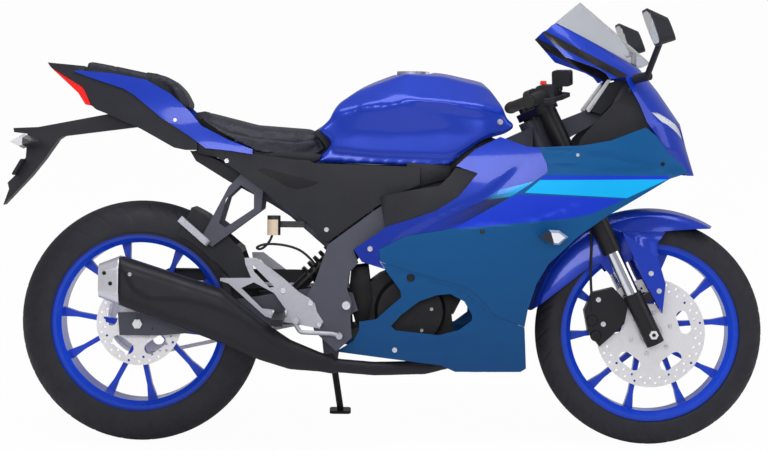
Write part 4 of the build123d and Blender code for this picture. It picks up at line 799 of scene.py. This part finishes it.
# Screws by the node that carries them: x and z of the side view, and a size.
body_spots = [
    ("fuel_tank", 925, 839, 1.3), ("waist_covers", 484, 560, 1.1), ("waist_covers", 226, 734, 1.1),
    ("frame_main", 536, 367, 2.0), ("mid_panels", 596, 513, 1.2), ("mid_panels", 754, 640, 1.0),
    ("lower_fairings", 661, 253, 1.2), ("side_fairings", 1120, 756, 0.8), ("tail_panels", 92, 838, 0.9)]
bracket_spots = [
    ("footrest_brackets", 375, 404, 1.3), ("footrest_brackets", 445, 373, 1.3),
    ("footrest_brackets", 467, 318, 1.1), ("footrest_brackets", 382, 450, 1.1),
    ("rear_caliper", 84, 372, 0.9), ("rear_caliper", 108, 398, 0.9)]
case_spots = [
    ("engine_covers", 755, 357, 1), ("engine_covers", 794, 389, 1), ("engine_covers", 823, 332, 1),
    ("engine_covers", 782, 303, 1), ("engine_covers", 730, 302, 1), ("engine", 574, 327, 1),
    ("engine", 566, 395, 1), ("engine", 563, 441, 1), ("engine", 599, 454, 1), ("exhaust", -6, 448, 1.1)]
plug_spots = [
    ("side_fairings", 1340, 735, 0.9), ("lower_fairings", 700, 440, 1.7), ("side_fairings", 880, 560, 1.0)]
fork_spots = [
    ("front_fender", 1319, 453, 1.3), ("front_fender", 1340, 408, 1.3), ("front_caliper", 1186, 383, 1.3),
    ("front_caliper", 1199, 320, 1.3), ("fork_castings", 1325, 262, 0.9)]
piston_spots = [("front_caliper", 1170, 330, 1.0), ("front_caliper", 1180, 290, 1.0)]


def round_rows(node, hub, radius, count, start, side):
    """Rows for a ring of screws around a hub."""
    angles = [math.radians(start + 360 * k / count) for k in range(count)]
    return screw_rows([(node, hub[0] + radius * math.cos(angle), hub[1] + radius * math.sin(angle), 1.0)
                       for angle in angles], (side,))


# Each: rows, finish, body, slot, radius and height in metres.
for piece, rows, finish, body, slot, radius, height in (
        ("body_screws", screw_rows(body_spots, BOTH) + screw_rows(bracket_spots, BOTH), "brushed_alloy",
         "chassis", "cast_silver", 0.0062, 0.0034),
        ("case_screws", screw_rows(case_spots, BOTH), "cast_silver", "chassis", "cast_silver", 0.005, 0.004),
        ("fairing_plugs", screw_rows(plug_spots, BOTH), "black_gloss", "chassis", "black_plastic",
         0.0062, 0.002),
        ("fork_screws", screw_rows(fork_spots, BOTH), "brushed_alloy", "steering", "cast_silver",
         0.0058, 0.0034),
        ("caliper_pistons", screw_rows(piston_spots), "black_metal", "steering", "black_metal", 0.015, 0.004),
        ("front_disc_screws", round_rows("front_brake_disc", FRONT_HUB, 54, 6, 20, RIGHT), "brushed_alloy",
         "front_wheel", "cast_silver", 0.0062, 0.004),
        ("rear_disc_screws", round_rows("rear_brake_disc", REAR_HUB, 42, 5, 10, RIGHT), "brushed_alloy",
         "rear_wheel", "cast_silver", 0.006, 0.004),
        ("sprocket_screws", round_rows("rear_sprocket", REAR_HUB, 48, 5, 10, LEFT), "brushed_alloy",
         "rear_wheel", "cast_silver", 0.0065, 0.004)):
    screws.grow(piece, rows, finish, body, slot, Radius=radius, Height=height)


# ---- plates and pipes drawn in the side view ----
def slab(name, outline, outer, thick, finish="black_plastic", soft=1.2, sides=BOTH):
    """A flat piece with softened rims, drawn in the side view at a distance from the middle."""
    form = bmesh.new()
    for side in sides:
        front = [form.verts.new((x, side * outer, z)) for x, z in outline]
        back = [form.verts.new((x, side * (outer - thick), z)) for x, z in outline]
        form.faces.new(front)
        form.faces.new(list(reversed(back)))
        for k in range(len(outline)):
            m = (k + 1) % len(outline)
            form.faces.new((front[k], back[k], back[m], front[m]))
    bmesh.ops.recalc_face_normals(form, faces=form.faces)
    if soft:
        bmesh.ops.bevel(form, geom=form.edges[:], offset=soft, segments=2, affect="EDGES", profile=0.5)
    bmesh.ops.triangulate(form, faces=[f for f in form.faces if len(f.verts) > 4])
    return finish_piece(parked_mesh(form, name), name, finish, "chassis", sharp=40.0)


def pipe(name, route, radius, body):
    """A smooth rigid rubber pipe on the right-hand side, through (x, y, z) places with positive Y outwards."""
    data = bpy.data.curves.new(name + "_line", "CURVE")
    data.dimensions = "3D"
    line = data.splines.new("NURBS")
    line.points.add(len(route) - 1)
    for point, (x, y, z) in zip(line.points, route):
        point.co = (*park(x, RIGHT * y, z), 1.0)
    line.order_u = 3
    line.use_endpoint_u = True
    line.resolution_u = 8
    data.bevel_depth = radius / 1000
    data.bevel_resolution = 3
    data.use_fill_caps = True
    form = bmesh.new()
    form.from_mesh(baked(placed(name + "_line", data)))
    bmesh.ops.remove_doubles(form, verts=form.verts, dist=1e-6)
    bmesh.ops.recalc_face_normals(form, faces=form.faces)
    return finish_piece(closed(form, name), name, "grip_rubber", body, sharp=50.0)


PATCH_T, PATCH_STEP, WAIST_Y = 1.6, 8.0, 130


def patch(name, node, outline, lift, finish, slot):
    """A thin shaped skin that follows a node's outer face on both sides."""
    form = bmesh.new()
    for side in BOTH:
        form.faces.new([form.verts.new((x, side * 300, z)) for x, z in outline])
    sliced(form, PATCH_STEP, lambda low: low + PATCH_STEP * 0.5)
    for vert in form.verts:
        side = LEFT if vert.co.y > 0 else RIGHT
        found = seat_on(node, vert.co.x, vert.co.z, side)
        vert.co.y = (found[0].y if found else side * WAIST_Y) + side * lift
    back = bmesh.ops.duplicate(form, geom=form.faces[:])
    for vert in (item for item in back["geom"] if isinstance(item, bmesh.types.BMVert)):
        vert.co.y -= math.copysign(PATCH_T, vert.co.y)
    rims = [edge for edge in form.edges if edge.is_boundary]
    pairs = {}
    for edge in rims:
        key = tuple(sorted((round(v.co.x, 3), round(v.co.z, 3), v.co.y > 0) for v in edge.verts))
        pairs.setdefault(key, []).append(edge)
    for first, second in pairs.values():
        a, b = first.verts
        c = min(second.verts, key=lambda v: (v.co.x - b.co.x) ** 2 + (v.co.z - b.co.z) ** 2)
        form.faces.new((a, b, c, second.other_vert(c)))
    bmesh.ops.recalc_face_normals(form, faces=form.faces)
    return finish_piece(parked_mesh(form, name), name, finish, "chassis", sharp=40.0)


slab("seat_base", [(262, 757), (300, 748), (345, 741), (400, 735), (446, 731), (462, 738), (470, 752),
                   (440, 757), (320, 757)], 106, 14)
patch("cover_vent", "waist_covers", [(306, 711), (318, 717), (462, 681), (441, 670), (408, 662), (385, 668)],
      0.6, "black_gloss", "black_plastic")
slab("case_flange", [(547, 459), (591, 465), (602, 377), (587, 299), (560, 316), (547, 360), (543, 410)],
     77, 10, "engine_black")
slab("dash_rim", [(1216, 951), (1206, 952), (1151, 876), (1157, 866), (1165, 872)], 76, 5, "white_plastic",
     soft=1.0)
slab("dash_glass", [(1212, 948), (1205, 950), (1154, 876), (1159, 869)], 70, 140, "black_gloss", soft=1.0,
     sides=(RIGHT,))
pipe("rear_brake_pipe", [(346, 112, 556), (344, 113, 534), (318, 118, 506), (300, 122, 512), (330, 124, 524),
                         (392, 124, 518), (433, 120, 498), (455, 112, 470)], 3.2, "chassis")
pipe("front_brake_pipe", [(1172, 84, 352), (1166, 84, 420), (1166, 84, 480), (1168, 84, 540), (1162, 82, 600),
                          (1140, 80, 660)], 3.4, "steering")


# ---- seats ----
# How far up a face has to look, as a cosine, for the cloth to move it at all, and until it moves it in full.
FLAT_BELOW, FREE_ABOVE = -0.75, -0.3
CLOTH_FRAMES = 20


def pad(node, voxel, start_in, cap, grooves):
    """Replaces a seat's solid by a padded form: swollen by cloth, flat below, with sewn grooves."""
    obj = placed(node + "_pad", closed(welded(node), node + "_pad"))
    shrink = obj.modifiers.new("shrink", "DISPLACE")
    shrink.strength = -start_in / 1000
    shrink.mid_level = 0.0
    mesh = remeshed(obj, voxel, 3)
    rest = np.array([v.co[:] for v in mesh.vertices])
    facing_up = upright_ways(mesh)[:, 2]
    cushion = placed(node + "_cushion", mesh)
    cloth = cushion.modifiers.new("cloth", "CLOTH")
    cloth.settings.quality = 5
    cloth.settings.use_pressure = True
    cloth.settings.uniform_pressure_force = 4.0
    cloth.settings.effector_weights.gravity = 0.0
    for moment in range(1, CLOTH_FRAMES + 1):
        bpy.context.scene.frame_set(moment)
    graph = bpy.context.evaluated_depsgraph_get()
    swollen = cushion.evaluated_get(graph).to_mesh()
    moved = np.array([v.co[:] for v in swollen.vertices]) - rest
    cushion.evaluated_get(graph).to_mesh_clear()
    cushion.modifiers.clear()
    bpy.data.objects.remove(cushion)
    bpy.context.scene.frame_set(1)
    length = np.linalg.norm(moved, axis=1)
    scale = np.minimum(1.0, (cap / 1000) / np.maximum(length, 1e-9))
    keep = np.clip((facing_up - FLAT_BELOW) / (FREE_ABOVE - FLAT_BELOW), 0.0, 1.0)
    rest = rest + moved * (scale * keep)[:, None]
    for vert, spot in zip(mesh.vertices, rest):
        vert.co = spot
    obj = placed(node + "_pad", mesh)
    fine = obj.modifiers.new("fine", "SUBSURF")
    fine.levels = fine.render_levels = 1
    mesh = baked(obj)
    spots = upright_spots(mesh)
    up = upright_ways(mesh)
    for groove in grooves:
        spots = spots - up * groove(spots, up)[:, None]
    move_all(mesh.vertices, spots)
    piece = replace(node, "_form", mesh, 180)
    return piece


def cross_groove(x, slope, depth, width):
    """A sewn line across a seat's top."""
    def height(spots, up):
        off = spots[:, 0] - x - slope * spots[:, 1] ** 2
        return depth * np.exp(-(off / width) ** 2) * (up[:, 2] > 0.3)

    return height


def side_groove(levels, depth, width):
    """A sewn line along a seat's side, by its height at places along the bike."""
    xs, zs = [x for x, z in levels], [z for x, z in levels]

    def height(spots, up):
        line = np.interp(spots[:, 0], xs, zs)
        ends = (spots[:, 0] > xs[0]) & (spots[:, 0] < xs[-1])
        return depth * np.exp(-((spots[:, 2] - line) / width) ** 2) * ends * (np.abs(up[:, 1]) > 0.25)

    return height


pad("rider_seat", 0.005, 2.0, 6.0, [
    side_groove([(165, 838), (230, 806), (300, 792), (400, 783), (470, 792)], 2.0, 3.0)])
pad("pillion_seat", 0.005, 2.0, 5.0, [cross_groove(-75, 0.0015, 1.8, 3.2)])


# ---- fillings behind the seams ----
slab("cover_tip", [(688, 733), (796, 728), (801, 710), (789, 692), (690, 662)], 137, 12)
slab("seam_backing", [(774, 699), (789, 741), (840, 782), (907, 801), (940, 768), (851, 728)], 100, 8,
     "black_metal")
slab("tail_seam_backing", [(138, 776), (160, 779), (250, 758), (262, 746), (240, 730), (200, 742), (150, 752)],
     96, 4)
slab("seat_heel_backing", [(140, 858), (165, 862), (240, 815), (236, 778), (205, 786), (150, 825)], 62, 124,
     sides=(RIGHT,))
slab("seat_nose_backing", [(430, 800), (472, 828), (500, 800), (500, 768), (462, 735), (432, 744)], 50, 100,
     sides=(RIGHT,))


# ---- mirror glasses ----
MIRROR_X, MIRROR_Y, MIRROR_Z = 1290, 290, 1074
MIRROR_HALF_WIDTH, MIRROR_HALF_HEIGHT = 64, 42
MIRROR_LEAN = (0.361, 0.933)
RIM_POINTS = 40


def mirror_glasses():
    """Glass on the rear face of both mirror shells, with round corners."""
    back, rise = MIRROR_LEAN
    places, faces = [], []
    for side in BOTH:
        first = len(places)
        for depth in (-0.3, -1.5):
            for k in range(RIM_POINTS):
                turn = 2 * math.pi * (k + 0.5) / RIM_POINTS
                across = math.copysign(abs(math.cos(turn)) ** 0.5, math.cos(turn)) * MIRROR_HALF_WIDTH
                up = math.copysign(abs(math.sin(turn)) ** 0.5, math.sin(turn)) * MIRROR_HALF_HEIGHT
                places.append((MIRROR_X - back * up + rise * depth, side * MIRROR_Y + across,
                               MIRROR_Z + rise * up + back * depth))
        face, rear = range(first, first + RIM_POINTS), range(first + RIM_POINTS, first + 2 * RIM_POINTS)
        faces += [list(rear), list(reversed(face))]
        for k in range(RIM_POINTS):
            m = (k + 1) % RIM_POINTS
            faces.append((face[k], rear[k], rear[m], face[m]))
    return finish_piece(mesh_of("mirror_glasses", places, faces), "mirror_glasses", "mirror_glass", "chassis")


mirror_glasses()


# ---- chain links and radiator fins ----
def chain_rows(pitch, rear, front, shift):
    """Places and ways of the links along the loop around both sprockets."""
    (x1, z1, r1), (x2, z2, r2) = rear, front
    gap = math.hypot(x2 - x1, z2 - z1)
    slope = math.atan2(z2 - z1, x2 - x1)
    tilt = math.acos((r1 - r2) / gap)
    line = []
    for start, end, (x, z, r) in ((tilt, 2 * math.pi - tilt, rear), (-tilt, tilt, front)):
        steps = 40
        line += [(x + r * math.cos(slope + start + (end - start) * k / steps),
                  z + r * math.sin(slope + start + (end - start) * k / steps)) for k in range(steps + 1)]
    line.append(line[0])
    spots = np.array(line)
    run = np.concatenate([[0], np.cumsum(np.hypot(*np.diff(spots, axis=0).T))])
    count = int(run[-1] / pitch)
    rows = []
    for k in range(count):
        at = (k + 0.5) * run[-1] / count
        x, z = np.interp(at, run, spots[:, 0]), np.interp(at, run, spots[:, 1])
        x3, z3 = np.interp(at + 1, run, spots[:, 0]), np.interp(at + 1, run, spots[:, 1])
        for side in shift:
            rows.append(((x, side, z), (0, 1, 0), (x3 - x, 0, z3 - z), 1.0))
    return rows


# Middle (x, z) and pitch radius of both sprockets, and the distances of the link plates from the middle plane.
REAR_SPROCKET, FRONT_SPROCKET, CHAIN_SIDES = (*REAR_HUB, 97.1), (602, 372, 28.5), (88.2, 75.8)
bars.grow("chain_links", chain_rows(12.7, REAR_SPROCKET, FRONT_SPROCKET, CHAIN_SIDES), "brushed_alloy",
          "chassis", "cast_silver", Length=0.0112, Width=0.0085, Height=0.0014)
RADIATOR_FACE, FIN_RISE, FIN_OUT = (956.4, 425.6), (0.17, 0.985), (0.985, 0, -0.17)
fin_rows = [((RADIATOR_FACE[0] + FIN_RISE[0] * up, across, RADIATOR_FACE[1] + FIN_RISE[1] * up), FIN_OUT,
             (0, 1, 0), 1.0) for up in range(-98, 99, 4) for across in (-58, 58)]
bars.grow("radiator_fins", fin_rows, "brushed_alloy", "chassis", "cast_silver", Length=0.108, Width=0.0012,
          Height=0.0024)


# ---- small parts ----
DOWN = Vector((0, 0, -1))
switch_top = upright_tree(nodes["switchgear"].data).ray_cast(Vector((1031, -190, 1300)), DOWN, 900)
screws.grow("stop_switch", [(switch_top[0], (0, 0, 1), (1, 0, 0), 1.0)], "lamp_red", "steering", "lamp_red",
            Radius=0.009, Height=0.009)
screws.grow("cap_screws", screw_rows([("muffler_cap", -56, 424, 1), ("muffler_cap", -72, 450, 1)]),
            "black_metal", "chassis", "black_metal", Radius=0.0055, Height=0.003)


def seat_strap():
    """A woven strap over the front of the rear seat, following its top."""
    tree = upright_tree(stand_in("pillion_seat").data)
    above, tuck = 1.0, 14
    lines = []
    for x in np.linspace(12, 38, 6):
        rim = []
        for y in np.linspace(-66, 66, 27):
            hit = tree.ray_cast(Vector((x, y, 1200)), DOWN, 500)
            if hit[0] is not None:
                rim.append((x, y, hit[0].z + above))
        tucked = [(x, y, z - tuck) for x, y, z in (rim[0], rim[-1])]
        lines.append([tucked[0]] + rim + [tucked[1]])
    count = min(len(rim) for rim in lines)
    lines = [rim[:count - 1] + [rim[-1]] for rim in lines]
    places = [place for rim in lines for place in rim]
    faces = [(i * count + k, (i + 1) * count + k, (i + 1) * count + k + 1, i * count + k + 1)
             for i in range(len(lines) - 1) for k in range(count - 1)]
    obj = placed("seat_strap_form", mesh_of("seat_strap", places, faces))
    thick = obj.modifiers.new("thick", "SOLIDIFY")
    thick.thickness = 0.0022
    thick.offset = 0.0
    return finish_piece(baked(obj), "seat_strap", "grip_rubber", "chassis", sharp=50)


seat_strap()


# ---- stage ----
# The camera sees the floor and the world as white; everything else is lit by the plain, dimmer ones.
WHITE, PAPER, FLOOR_GLOW, WORLD_LIGHT = (1.0, 1.0, 1.0, 1.0), (0.86, 0.86, 0.86, 1.0), 0.97, 0.42
bpy.ops.mesh.primitive_plane_add(size=60.0, location=(0, 0, 0))
floor = bpy.context.object
floor.name = "studio_floor"
paper = Finish("studio_paper", Roughness=0.9)
paper.shader.inputs["Base Color"].default_value = PAPER
paper.shader.inputs["Specular IOR Level"].default_value = 0.0
sight = paper.node("ShaderNodeLightPath")
seen = Flow(paper, sight.socket.node.outputs["Is Camera Ray"])
glow = paper.node("ShaderNodeEmission", {}, {"Color": WHITE, "Strength": 1.0})
shown = paper.node("ShaderNodeMixShader", {}, [seen * FLOOR_GLOW, Flow(paper, paper.shader.outputs[0]), glow])
paper.tree.links.new(shown.socket, paper.tree.nodes["Material Output"].inputs["Surface"])
floor.data.materials.append(paper.material)

world = bpy.data.worlds.new("studio")
bpy.context.scene.world = world
world.use_nodes = True
air = world.node_tree
background = air.nodes["Background"]
background.inputs["Strength"].default_value = WORLD_LIGHT
background.inputs["Color"].default_value = WHITE
path = add_node(air, "ShaderNodeLightPath")
white = add_node(air, "ShaderNodeBackground", {}, {"Color": WHITE, "Strength": 1.0})
choose = add_node(air, "ShaderNodeMixShader", {}, {
    0: path.outputs["Is Camera Ray"], 1: background.outputs[0], 2: white.outputs[0]})
air.links.new(choose.outputs[0], air.nodes["World Output"].inputs["Surface"])


def soft_lamp(name, place, target, size, power):
    """A large area lamp aimed at a place."""
    data = bpy.data.lights.new(name, "AREA")
    data.shape = "RECTANGLE"
    data.size, data.size_y = size
    data.energy = power
    lamp = placed(name, data)
    lamp.location = place
    lamp.rotation_euler = (Vector(target) - Vector(place)).to_track_quat("-Z", "Y").to_euler()


soft_lamp("overhead", (0.0, -0.6, 3.2), (0, 0, 0.5), (3.6, 1.6), 70)
soft_lamp("side", (-0.6, -4.2, 2.2), (0, 0, 0.5), (3.2, 1.0), 60)
soft_lamp("front", (3.6, -1.6, 1.8), (0, 0, 0.6), (2.0, 2.0), 25)
